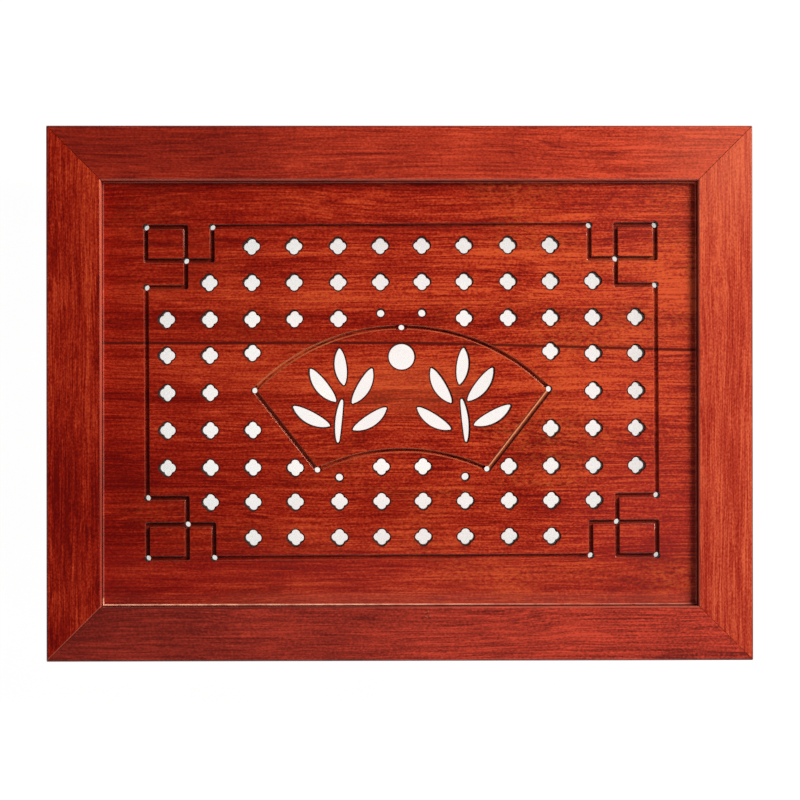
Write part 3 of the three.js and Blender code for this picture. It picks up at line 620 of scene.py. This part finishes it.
# ------------------------------------------------------------------ mitred frame
def rail(name, length, width, turn, mat, soft=1.05):
    reb, gd = RAIL_W - REBATE_W, RAIL_W - TONGUE_L - 1.0
    pts = [
        (0, RIM_Z), (reb, RIM_Z), (reb, RIM_Z + REBATE_H), (RAIL_W, RIM_Z + REBATE_H),
        (RAIL_W, TONGUE_Z0 - FIT), (gd, TONGUE_Z0 - FIT), (gd, TONGUE_Z1 + FIT), (RAIL_W, TONGUE_Z1 + FIT),
        (RAIL_W, TOP_Z), (0, TOP_Z),
    ]
    prof = fillet(pts, [0.9, 0.4, 0, 0.6, 0.3, 0, 0, 0.3, soft, 1.25], 6)
    eased = offset(prof, -0.25)
    loops = []
    for end, gap, ring in ((-1, 0.06, eased), (-1, 0.34, prof), (1, 0.34, prof), (1, 0.06, eased)):
        loops.append([(end * (length / 2 - u - gap), -width / 2 + u, z) for u, z in ring])
    ob = rings(name, loops)
    ob.data.transform(Matrix.Rotation(turn, 4, "Z"))
    smooth(ob, 40)
    return put(ob, mat, "tray_top", "rail_wood", name.replace("_wood", ""))


# The back, front and right rails' tones and tint give a pinker cast: partly their own tone, partly a painted sheen of
# reflected light. lean and fall make the rails lighter towards the back right and darker towards the front left:
# painted light and shade of the key light.
rail("front_rail_wood", TRAY_L, TRAY_W, 0.0, wood("rail_front_grain", 0.0, 50.0, FRONT_TONES, rail="front", fleck=0.95, band=0.6, figured=0.8, lean=(-0.08, -0.26, 0.13), spots=FRONT_SPOTS, soft=1.4), 1.4)
rail("back_rail_wood", TRAY_L, TRAY_W, math.pi, wood("rail_back_grain", 0.0, 61.0, BACK_TONES, rail="back", fleck=0.8, band=0.7, lean=(-0.03, -0.20, 0.15)))
rail("right_rail_wood", TRAY_W, TRAY_L, math.pi / 2, wood("rail_right_grain", math.pi / 2, 72.0, rail="right", tint=(1.05, 1.42, 2.05), fleck=0.55, band=0.5, figured=0.45, lean=(0.12, 0.0, 0.0), fall=(0.07, 0.01)))
rail("left_rail_wood", TRAY_W, TRAY_L, -math.pi / 2, wood("rail_left_grain", math.pi / 2, 83.0, rail="left", fleck=1.1, band=0.8, figured=1.2, dash=0.45, lean=(-0.02, 0.0, 0.0), fall=(0.0, -0.21), spots=LEFT_SPOTS))


# ------------------------------------------------------------------ pierced panel
def quatrefoil(cx, cy, grow=0.0, n=9):
    r = LOBE_R + grow
    t = (LOBE_A + math.sqrt(2 * r * r - LOBE_A * LOBE_A)) / 2
    edge = math.atan2(t, t - LOBE_A)
    pts = []
    for k in range(4):
        for i in range(n):
            a = -edge + 2 * edge * i / n
            x, y = LOBE_A + r * math.cos(a), r * math.sin(a)
            c, s = (1, 0, -1, 0)[k], (0, 1, 0, -1)[k]
            pts.append((cx + x * c - y * s, cy + x * s + y * c))
    return pts


def disc(cx, cy, r, n=28):
    return [(cx + r * math.cos(2 * math.pi * i / n), cy + r * math.sin(2 * math.pi * i / n)) for i in range(n)]


def leaf(cx, cy, length, wid, deg, bend, n=22):
    a = math.radians(deg)
    up, down = [], []
    for i in range(n + 1):
        t = -math.cos(math.pi * i / n)
        h = 0.85 + (wid / 2 - 0.85) * max(0.0, 1 - t * t) ** 0.8
        mid = bend * (1 - t * t)
        down.append((t * length / 2, mid - h))
        up.append((t * length / 2, mid + h))
    tip = [(length / 2 + 0.85 * math.cos(q), 0.85 * math.sin(q)) for q in np.radians([-50, -18, 18, 50])]
    tail = [(-length / 2 - 0.85 * math.cos(q), 0.85 * math.sin(q)) for q in np.radians([50, 18, -18, -50])]
    pts = down + tip + up[::-1] + tail
    return [(cx + x * math.cos(a) - y * math.sin(a), cy + x * math.sin(a) + y * math.cos(a)) for x, y in pts]


LIP = 0.9
OPENED = 0.2  # the drain holes' walls are sanded back by this
ROUND = [(PANEL_TOP - LIP + LIP * math.sin(q), LIP * (1 - math.cos(q))) for q in np.radians([0, 30, 55, 75, 90])]
THROUGH = [(PANEL_BOT - 1, 0.4), (PANEL_BOT, 0.4), (PANEL_BOT + 0.4, 0.0)] + ROUND + [(PANEL_TOP + 1, LIP)]


def through(outline):
    """A cutter right through the panel, with its lips rounded over; outline(grow) gives the hole's edge."""
    return rings("cutter", [[(x, y, z) for x, y in shift(outline(o))] for z, o in THROUGH])


HOLES = []
for row, cols in (
    (93.3, (0, 1, 2, 3)), (70.1, (0, 1, 2, 3, 4)), (46.7, (1, 2, 3, 4, 5)), (23.7, (4, 5)), (25.2, (3,)),
    (-0.2, (4, 5)), (-24.2, (3, 4, 5)), (-48.2, (0, 3, 4, 5)), (-70.3, (0, 1, 2, 3, 4)), (-93.2, (0, 1, 2, 3)),
):
    HOLES += [(s * COL[c], row) for c in cols for s in (-1, 1)]
HOLES += [(-COL[2], -48.6), (COL[2], -48.4)]
SPRIG = [
    (-38.5, 16.0, 22, 7.6, 97, 0.6), (-50.5, 4.2, 25, 8.2, 128, 1.2), (-25.3, 3.6, 24, 8.0, 60, -1.2),
    (-58.0, -15.6, 25, 7.8, 152, 1.2), (-20.6, -17.5, 24, 7.6, 33, -1.2), (-39.8, -18.8, 26, 4.2, 84, 0.8),
]
DOTS = [(0, FAN_APEX)]
for sx in (-1, 1):
    DOTS += [(sx * FAN_X, FAN_Y), (sx * FAN_XB, FAN_YB)]
    for sy in (-1, 1):
        DOTS += [(sx * F_XOUT, sy * F_YOUT), (sx * F_XMID, sy * F_YMID), (sx * F_XIN, sy * F_YOUT), (sx * F_XOUT, sy * F_YSIDE)]

cut = [through(lambda o, h=h: quatrefoil(h[0], h[1], o + OPENED)) for h in HOLES]
cut += [through(lambda o, c=c: disc(c[0], c[1], SMALL_R + o)) for c in ((-13.2, 50.1), (13.2, 50.1), (-40.3, -54.8), (40.3, -54.8))]
cut += [through(lambda o: disc(0, 22.2, FINGER_R + o, 72))]
cut += [through(lambda o, c=c: disc(c[0], c[1], DOT_R + o * 0.4)) for c in DOTS]
for l in SPRIG:
    one = leaf(*l)
    two = [(-x, y) for x, y in one][::-1]
    cut += [through(lambda o, q=one: offset(q, o)), through(lambda o, q=two: offset(q, o))]
drilled = join("drilled", cut)


def channel(path, half, depth, lip=0.25, corner=0.6):
    """A flat-bottomed groove's cutter along a path, with its floor's corners and its lips rounded, and round ends."""
    p = np.array(path, float)
    d = np.gradient(p, axis=0)
    d /= np.linalg.norm(d, axis=1, keepdims=True)
    nrm = np.c_[-d[:, 1], d[:, 0]]
    wall = half - lip
    levels = [(PANEL_TOP - depth + corner * (1 - math.cos(q)), wall - corner * (1 - math.sin(q))) for q in np.radians([0, 30, 60, 90])]
    levels += [(PANEL_TOP - lip + lip * math.sin(q), wall + lip * (1 - math.cos(q))) for q in np.radians([0, 35, 65, 90])]
    levels += [(PANEL_TOP + 1, half)]

    def outline(w):
        out = [tuple(q) for q in p + nrm * w][::-1]
        a0 = math.atan2(nrm[0][1], nrm[0][0])
        out += [(p[0][0] + w * math.cos(a0 + t), p[0][1] + w * math.sin(a0 + t)) for t in np.radians([30, 60, 90, 120, 150])]
        out += [tuple(q) for q in p - nrm * w]
        a1 = math.atan2(-nrm[-1][1], -nrm[-1][0])
        out += [(p[-1][0] + w * math.cos(a1 + t), p[-1][1] + w * math.sin(a1 + t)) for t in np.radians([30, 60, 90, 120, 150])]
        return out

    return rings("channel", [[(x, y, z) for x, y in shift(outline(w))] for z, w in levels])


def straight(x0, y0, x1, y1, half=1.75, depth=2.2, lip=0.25):
    return channel([(x0 + (x1 - x0) * t, y0 + (y1 - y0) * t) for t in np.linspace(0, 1, 3)], half, depth, lip)


def arc(hx, y, apex, n):
    sag = apex - y
    R = (hx * hx + sag * sag) / (2 * sag)
    half = math.asin(hx / R)
    return channel([(R * math.sin(t), apex - R + R * math.cos(t)) for t in np.linspace(-half, half, n)], 1.5, 2.2)


across, along = [], []
for sx in (-1, 1):
    for sy in (-1, 1):
        across += [straight(sx * F_XOUT, sy * F_YOUT, sx * F_XMID, sy * F_YOUT), straight(sx * F_XOUT, sy * F_YMID, sx * F_XIN, sy * F_YMID),
                   straight(sx * F_XOUT, sy * F_YSIDE, sx * F_XMID, sy * F_YSIDE)]
        along += [straight(sx * F_XOUT, sy * F_YOUT, sx * F_XOUT, sy * F_YMID), straight(sx * F_XMID, sy * F_YOUT, sx * F_XMID, sy * F_YSIDE),
                  straight(sx * F_XIN, sy * F_YOUT, sx * F_XIN, sy * F_YMID)]
    along += [straight(sx * F_XOUT, -F_YSIDE, sx * F_XOUT, F_YSIDE)]
for sy in (-1, 1):
    across += [straight(-F_XIN, sy * F_YOUT, F_XIN, sy * F_YOUT)]
grooves = [
    join("grooves_across", across),
    join("grooves_along", along),
    join("grooves_arcs", [arc(FAN_X, FAN_Y, FAN_APEX, 61), arc(FAN_XB, FAN_YB, FAN_APEXB, 37)]),
    join("grooves_sides", [straight(-FAN_X, FAN_Y, -FAN_XB, FAN_YB, 1.6, 2.2), straight(FAN_X - 0.15, FAN_Y - 0.91, FAN_XB + 0.85, FAN_YB + 0.37, 2.0, 2.2)]),
]

ET0, ET1 = PANEL_TOP - 6.5, PANEL_TOP - 3.5
RIDGE = PANEL_TOP + 0.75  # lacquer builds up to a small cove round the panel's edge


def rim(s):
    return [(s * IN_Y, PANEL_BOT), (s * IN_Y, TONGUE_Z0), (s * (IN_Y + TONGUE_L), TONGUE_Z0), (s * (IN_Y + TONGUE_L), TONGUE_Z1),
            (s * IN_Y, TONGUE_Z1), (s * IN_Y, RIDGE - 0.3), (s * (IN_Y - 0.3), RIDGE)]


def grooved(seam, s):
    return [(seam + s * SEAM_GAP, PANEL_BOT), (seam + s * SEAM_GAP, ET0 - FIT), (seam + s * (EDGE_TONGUE + FIT), ET0 - FIT),
            (seam + s * (EDGE_TONGUE + FIT), ET1 + FIT), (seam + s * SEAM_GAP, ET1 + FIT), (seam + s * SEAM_GAP, RIDGE)]


def tongued(seam, s):
    return [(seam - s * SEAM_GAP, PANEL_BOT), (seam - s * SEAM_GAP, ET0), (seam + s * EDGE_TONGUE, ET0), (seam + s * EDGE_TONGUE, ET1),
            (seam - s * SEAM_GAP, ET1), (seam - s * SEAM_GAP, RIDGE)]


SECTIONS = {
    "panel_board_back": rim(1) + grooved(SEAM_BACK, 1)[::-1],
    "panel_board_middle": tongued(SEAM_BACK, 1) + tongued(SEAM_FRONT, -1)[::-1],
    "panel_board_front": grooved(SEAM_FRONT, -1) + rim(-1)[::-1],
}
END = IN_X + TONGUE_L
trims = []
for s in (-1, 1):
    up = [(IN_X, TONGUE_Z1), (END + 2, TONGUE_Z1), (END + 2, PANEL_TOP + 1), (IN_X - 0.3, PANEL_TOP + 1), (IN_X - 0.3, RIDGE), (IN_X, RIDGE - 0.3)]
    low = [(IN_X, PANEL_BOT - 1), (END + 2, PANEL_BOT - 1), (END + 2, TONGUE_Z0), (IN_X, TONGUE_Z0)]
    for poly in (up, low):
        trims.append(prism_y("trim", [(s * x, z) for x, z in poly], -200, 200))
for x in (-BATTEN_X, BATTEN_X):
    trims.append(prism_y("housing", [(x - 3.3, 47.7), (x + 3.3, 47.7), (x + 4.3, 51.0), (x - 4.3, 51.0)], -200, 200))
trims = join("trims", trims)
face = rings("face", [[(a * (IN_X - d), b * (IN_Y - d), PANEL_TOP + h) for a, b in ((-1, -1), (1, -1), (1, 1), (-1, 1))]
                      for d, h in ((1.45, 0.0), (1.10, 0.07), (0.82, 0.22), (0.60, 0.45), (0.46, 0.78), (0.44, 1.5))])

PANEL_SEED = {"panel_board_back": 5.0, "panel_board_middle": 6.0, "panel_board_front": 7.0}
hole_wall = cut_wood("panel_hole_wall")
fan_cut = pale_wood("panel_fan_groove")
ROUNDS = [(h, LOBE_A + LOBE_R + OPENED) for h in HOLES] + [(d, DOT_R) for d in DOTS] + [((0, 22.2), FINGER_R)]
ROUNDS += [(c, SMALL_R) for c in ((-13.2, 50.1), (13.2, 50.1), (-40.3, -54.8), (40.3, -54.8))]
ROUND_C = np.array([c for c, _ in ROUNDS])
ROUND_R = np.array([r for _, r in ROUNDS])


def stain_and_shade_cuts(ob):
    """Gives the walls of the holes and the fan's grooves their own materials, which hold stain and painted light and
    shade.
    """
    me = ob.data
    n = len(me.polygons)
    c, nz = np.empty(n * 3, np.float32), np.empty(n * 3, np.float32)
    me.polygons.foreach_get("center", c)
    me.polygons.foreach_get("normal", nz)
    c, nz = c.reshape(-1, 3) / MM - (PAT_X, PAT_Y, 0), nz.reshape(-1, 3)
    k, s = math.cos(PAT_TURN), math.sin(PAT_TURN)
    c = np.c_[c[:, 0] * k + c[:, 1] * s, c[:, 1] * k - c[:, 0] * s, c[:, 2]]
    wall = (nz[:, 2] < 0.995) & (c[:, 2] < PANEL_TOP - 0.005) & (c[:, 2] > PANEL_BOT + 0.02)
    near = (np.hypot(c[:, None, 0] - ROUND_C[:, 0], c[:, None, 1] - ROUND_C[:, 1]) < ROUND_R + LIP + 0.08).any(1)
    for cx, cy, length, wid, deg, bend in SPRIG:
        for side in (1, -1):
            x, y = c[:, 0] * side - cx, c[:, 1] - cy
            a = math.radians(deg)
            u, v = x * math.cos(a) + y * math.sin(a), -x * math.sin(a) + y * math.cos(a)
            near |= (np.abs(u) < length / 2 + 1.6) & (np.abs(v - bend) < wid / 2 + 1.6)
    x, y = c[:, 0], c[:, 1]
    fan = np.zeros(n, bool)
    for hx, foot, apex in ((FAN_X, FAN_Y, FAN_APEX), (FAN_XB, FAN_YB, FAN_APEXB)):
        R = (hx * hx + (apex - foot) ** 2) / (2 * (apex - foot))
        fan |= (np.abs(np.hypot(x, y - apex + R) - R) < 1.7) & (np.abs(x) < hx + 1) & (y > foot - 1)
    d = np.array([FAN_XB - FAN_X, FAN_YB - FAN_Y])
    t = ((np.abs(x) - FAN_X) * d[0] + (y - FAN_Y) * d[1]) / (d @ d)
    fan |= (np.hypot(np.abs(x) - FAN_X - t * d[0], y - FAN_Y - t * d[1]) < np.where(x > 0, 2.6, 1.75)) & (t > -0.01) & (t < 1.01)
    slot = np.where(wall & near, 1, np.where(fan & (c[:, 2] < PANEL_TOP - 0.01) & (c[:, 2] > PANEL_TOP - 3), 2, 0)).astype(np.int32)
    me.polygons.foreach_set("material_index", slot)
    me.update()


panel_grain = {}
for node, section in SECTIONS.items():
    ob = prism_x(node + "_wood", section, -END, END)
    for c in (face, trims, drilled, *grooves):
        boolean(ob, c, keep=True)
    smooth(ob, 35)
    seed = PANEL_SEED[node]
    if seed not in panel_grain:
        panel_grain[seed] = wood("panel_grain_%d" % int(seed), 0.0, seed, panel=True, band=0.6, lean=(0.02, -0.15, 0.0), spots=PANEL_SPOTS)
    put(ob, panel_grain[seed], "tray_top", "panel_wood", node)
    ob.data.materials.append(hole_wall)
    ob.data.materials.append(fan_cut)
    stain_and_shade_cuts(ob)
for c in (face, trims, drilled, *grooves):
    drop(c)

# ------------------------------------------------------------------ battens and loose tenons
batten_wood = plain_wood("batten_grain", math.pi / 2, 15.0)
for node, x in (("batten_left", -BATTEN_X), ("batten_right", BATTEN_X)):
    h, z = BATTEN_W / 2, PANEL_BOT - FIT
    pts = [(x - h, BATTEN_Z0), (x + h, BATTEN_Z0), (x + h, z), (x + 3, z), (x + 4, z + 3), (x - 4, z + 3), (x - 3, z), (x - h, z)]
    ob = prism_y(node + "_wood", fillet(pts, [1.5, 1.5, 0.5, 0, 0.3, 0.3, 0, 0.5], 3), -IN_Y, IN_Y)
    t0, t1, e = BATTEN_Z0 + 1.5, PANEL_BOT - 0.6, IN_Y + 8
    tenon = prism_y("tenon", fillet([(x - 4, t0), (x + 4, t0), (x + 4, t1), (x - 4, t1)], [0.6] * 4, 2), -e, e)
    boolean(ob, tenon, "UNION")
    smooth(ob, 40)
    put(ob, batten_wood, "tray_top", "inner_wood", node)
tenon_wood = plain_wood("tenon_grain", math.pi / 4, 27.0)
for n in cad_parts:
    if n.startswith("corner_tenon_"):
        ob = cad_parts[n]
        ob.data.materials.clear()
        ob.data.materials.append(tenon_wood)

# ------------------------------------------------------------------ soft pads
pad_mat = silicone("pad_silicone_skin")
for n in ("front_left", "front_right", "back_right", "back_left"):
    lo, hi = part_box("cushion_pad_" + n)
    c = (lo + hi) / 2 / MM
    z0, z1 = lo.z / MM, hi.z / MM
    prof = [(0.6, z0 + 0.22), (3.2, z0 + 0.08), (4.3, z0), (4.75, z0 + 0.12), (5.0, z0 + 0.42), (5.0, z1 - 0.1), (4.9, z1), (0.6, z1)]
    loops = [[(c.x + r * math.cos(2 * math.pi * j / 48), c.y + r * math.sin(2 * math.pi * j / 48), z) for j in range(48)] for r, z in prof]
    ob = smooth(rings("cushion_pad_%s_soft" % n, loops), 50)
    put(ob, pad_mat, "tray_top", "pad_silicone", "cushion_pad_" + n)

# ------------------------------------------------------------------ drip pan
def pan_ring(inset, z, hx=189.0, hy=134.0, r=18.0):
    q = max(r - inset, 2.0)
    return [(x, y, z) for x, y in rounded_rect(hx - inset, hy - inset, q)]


def wall(z):
    return 2.5 * (1 - z / RIM_Z)  # the walls lean in towards the floor


loops = []
F = 7.0  # fillet between floor and wall
base = 2.5 + wall(2.5)
for q in np.radians([0, 15, 30, 45, 60, 75, 90]):
    loops.append(pan_ring(base + F - F * math.sin(q), 2.5 + F - F * math.cos(q)))
loops.append(pan_ring(2.5 + wall(24.0), 24.0))
loops.append(pan_ring(2.5 + 0.05, 37.2))
for q in np.radians([25, 50, 75, 90]):
    loops.append(pan_ring(2.5 - 1.3 * (1 - math.cos(q)), 37.2 + 1.3 * math.sin(q)))
FL = -19.0
loops.append(pan_ring(FL + 3.0, 38.5, r=0.0 + 18))
for q in np.radians([0, 30, 60, 90, 120, 150, 180]):
    loops.append(pan_ring(FL + 1.2 - 1.2 * math.sin(q), 37.25 + 1.25 * math.cos(q)))
loops.append(pan_ring(FL + 3.0, 36.0))
for q in np.radians([0, 30, 60, 90]):
    loops.append(pan_ring(0.15 - 2.0 * (1 - math.sin(q)), 36.0 - 2.0 * (1 - math.cos(q))))
loops.append(pan_ring(wall(20.0), 20.0))
for q in np.radians([0, 30, 60, 90]):
    loops.append(pan_ring(wall(4.0) + 4.0 * (1 - math.cos(q)), 4.0 - 4.0 * math.sin(q)))
loops.append(pan_ring(16.0, 0.0))
loops.append(pan_ring(17.2, 0.8))
pan = rings("drip_pan_shell", loops)


def bead_box(x, y0, y1, z0, z1, r):
    pts = fillet([(-x, z0), (x, z0), (x, z1), (-x, z1)], [r] * 4, 5)
    inner = offset(pts, -0.5)
    return rings("boss", [[(a, y0, b) for a, b in inner], [(a, y0 + 0.5, b) for a, b in pts], [(a, y1 - 0.5, b) for a, b in pts], [(a, y1, b) for a, b in inner]])


boolean(pan, bead_box(14, BOSS_IN, BOSS_OUT, 1.0, 27.0, 4.0), "UNION")
boolean(pan, lathe_y("bore", [(5.5, 118), (5.5, 140)], NOZ_Z, 64))
smooth(pan, 40)
put(pan, plastic("pan_polypropylene"), "pan", "pan_plastic", "drip_pan")

# ------------------------------------------------------------------ drain nozzle, gasket, nut and cap
brass_mat = brass("nozzle_turned_brass")
fl0 = BOSS_OUT + 1.6
fl1 = fl0 + 3.0
PITCH = 1.25


def thread(a, y, r):
    if abs(r - 5.18) < 0.01 and 120.3 < y < 131.5:
        k = (y / PITCH - a / (2 * math.pi)) % 1.0
        return r - 0.55 * abs(2 * k - 1)
    return r


prof = [(4.2, 120.0), (4.45, 119.5), (4.75, 119.5), (4.95, 119.8), (5.18, 120.3)]
prof += [(5.18, y) for y in np.arange(120.45, 131.6, 0.15)]
prof += [(5.17, 131.8), (5.2, fl0 - 0.2), (5.2, fl0), (9.6, fl0), (10.0, fl0 + 0.4), (10.0, fl1 - 0.7), (9.3, fl1), (6.2, fl1), (5.5, fl1 + 0.25), (5.2, fl1 + 0.9)]
for b in (146, 150, 154):
    prof += [(5.2, b - 0.15), (5.35, b), (5.8, b), (5.9, b + 0.12), (5.85, b + 0.35)]
    prof += [(5.22, b + 3.6)] if b < 154 else []
prof += [(4.9, 159.4), (4.7, 159.85), (4.5, 160.0), (4.3, 159.9), (4.2, 159.6)]
nozzle = lathe_y("drain_nozzle_turned", prof, NOZ_Z, 72, thread, closed=True)
smooth(nozzle, 32)
put(nozzle, brass_mat, "pan", "nozzle_brass", "drain_nozzle")

g0, g1 = BOSS_OUT + 0.05, BOSS_OUT + 1.5
gp = [(5.4 + 2.05 + 2.05 * math.copysign(abs(math.cos(q)) ** 0.5, math.cos(q)), (g0 + g1) / 2 + (g1 - g0) / 2 * math.copysign(abs(math.sin(q)) ** 0.5, math.sin(q))) for q in np.linspace(0, 2 * math.pi, 25)[:-1]]
gasket = smooth(lathe_y("nozzle_gasket_ring", gp, NOZ_Z, 64, closed=True), 50)
put(gasket, rubber("gasket_black_rubber"), "pan", "gasket_rubber", "nozzle_gasket")


def hexagon(a, y, r):
    if r < 8:
        return r
    flat = 9.09 / math.cos(((a + math.pi / 6) % (math.pi / 3)) - math.pi / 6)  # corners up and down
    return min(r, flat)


n0, n1 = BOSS_IN - 6.1, BOSS_IN - 0.1
np_ = [(5.4, n0 + 0.6), (5.9, n0), (8.6, n0), (9.0, n0 + 0.1), (9.7, n0 + 0.55), (10.5, n0 + 1.1), (10.5, n1 - 1.1), (9.7, n1 - 0.55), (9.0, n1 - 0.1), (8.6, n1), (5.9, n1), (5.4, n1 - 0.6)]
nut = smooth(lathe_y("nozzle_nut_hex", np_, NOZ_Z, 96, hexagon, closed=True), 32)
put(nut, brass_mat, "pan", "nozzle_brass", "nozzle_nut")


def grip(a, y, r):
    if 152.5 < y < 162 and r > 7.0:
        return r - 0.22 * (0.5 + 0.5 * math.cos(24 * a)) ** 2 * min(1.0, (y - 152.5) / 0.8, (162 - y) / 0.8)
    return r


cp = [(0.3, 161.0), (5.6, 161.0), (6.2, 160.4), (6.2, 147.6), (6.45, 147.1), (6.9, 147.0), (7.3, 147.4), (7.3, 148.8), (7.6, 149.0), (7.85, 149.3), (7.9, 150.0), (7.85, 150.7), (7.6, 151.0), (7.32, 151.4)]
cp += [(7.3, y) for y in np.arange(152.5, 162.01, 0.4)]
cp += [(7.25, 162.6), (7.05, 163.2), (6.6, 163.7), (5.8, 163.95), (4.5, 164.0), (0.3, 164.0)]
cap = smooth(lathe_y("nozzle_cap_soft", cp, NOZ_Z, 96, grip), 40)
put(cap, silicone("cap_silicone_skin", (0.7, 0.69, 0.66)), "cap", "cap_silicone", "nozzle_cap")

# ------------------------------------------------------------------ camera, floor and light
cam_data = bpy.data.cameras.new("camera")
cam = bpy.data.objects.new("camera", cam_data)
scene.collection.objects.link(cam)
cam_data.sensor_fit, cam_data.sensor_width, cam_data.lens = "HORIZONTAL", 36.0, 91.94
cam.location = (-0.01233, -0.00653, 0.064 + 1.3)
cam.rotation_euler = (0.0017013, -0.0094037, -0.0012437)
scene.camera = cam

floor = make("floor", [(-3, -3, 0), (3, -3, 0), (3, 3, 0), (-3, 3, 0)], [(0, 1, 2, 3)], 1.0)
fm = Nodes("floor_pale")
grain = fm.noise(fm.vmath("MULTIPLY", fm.mm(), (0.02, 0.02, 0.02)), 1.0, 2.0)
# dimmer in the shade under the tray's overhang
fs = fm.new("ShaderNodeSeparateXYZ")
fm.put(fs.inputs[0], fm.mm())
reach = fm.math("MAXIMUM", fm.math("SUBTRACT", fm.math("ABSOLUTE", fs.outputs[0]), 186.0), fm.math("SUBTRACT", fm.math("ABSOLUTE", fs.outputs[1]), 131.0))
fm.bsdf(Base_Color=fm.ramp(grain, [(0.3, (0.11, 0.11, 0.11)), (0.7, (0.14, 0.14, 0.14))]), Roughness=0.8, Specular_IOR_Level=0.1, Emission_Color=(1, 1, 1, 1), Emission_Strength=fm.span(reach, 0.0, 38.0, 0.55, 0.96))
floor.data.materials.append(fm.mat)

world = bpy.data.worlds.new("studio")
scene.world = world
world.use_nodes = True
wt = world.node_tree
wt.nodes.clear()
wo = wt.nodes.new("ShaderNodeOutputWorld")
bg = wt.nodes.new("ShaderNodeBackground")
bg.inputs["Color"].default_value = (1.0, 1.0, 1.0, 1)
# a white room with a dark ceiling: bright for the eye and low down, dim overhead
lp = wt.nodes.new("ShaderNodeLightPath")
tc = wt.nodes.new("ShaderNodeTexCoord")
up = wt.nodes.new("ShaderNodeSeparateXYZ")
wt.links.new(tc.outputs["Generated"], up.inputs[0])
sky = wt.nodes.new("ShaderNodeMapRange")
sky.interpolation_type = "SMOOTHSTEP"
for k, v in (("From Min", 0.30), ("From Max", 0.75), ("To Min", 0.60), ("To Max", 0.008)):
    sky.inputs[k].default_value = v
wt.links.new(up.outputs["Z"], sky.inputs["Value"])
eye = wt.nodes.new("ShaderNodeMix")
eye.data_type = "FLOAT"
wt.links.new(lp.outputs["Is Camera Ray"], eye.inputs[0])
wt.links.new(sky.outputs[0], eye.inputs[2])
eye.inputs[3].default_value = 1.0
wt.links.new(eye.outputs[0], bg.inputs["Strength"])
wt.links.new(bg.outputs[0], wo.inputs["Surface"])


def area(name, loc, target, size, power, colour=(1, 1, 1)):
    ld = bpy.data.lights.new(name, "AREA")
    ld.shape, ld.size, ld.size_y, ld.energy, ld.color = "RECTANGLE", size[0], size[1], power, colour
    ob = bpy.data.objects.new(name, ld)
    scene.collection.objects.link(ob)
    ob.location = loc
    ob.rotation_euler = (Vector(target) - Vector(loc)).to_track_quat("-Z", "Y").to_euler()
    ob.visible_camera = False
    return ob


area("key", (1.28, 0.80, 1.14), (0.0, 0.0, 0.06), (0.62, 0.62), 48.5, (1.0, 0.86, 0.68))
area("fill", (0.30, -1.20, 1.00), (0.0, 0.0, 0.05), (1.2, 1.2), 5.2, (1.0, 0.95, 0.92))
inside = area("pan_light", (0, 0, 0.0398), (0, 0, 0.0), (0.36, 0.25), 0.300, (0.90, 1.0, 1.0))
inside.visible_glossy = False

scene.view_settings.view_transform = "Standard"
scene.view_settings.look = "None"

bpy.context.view_layer.update()
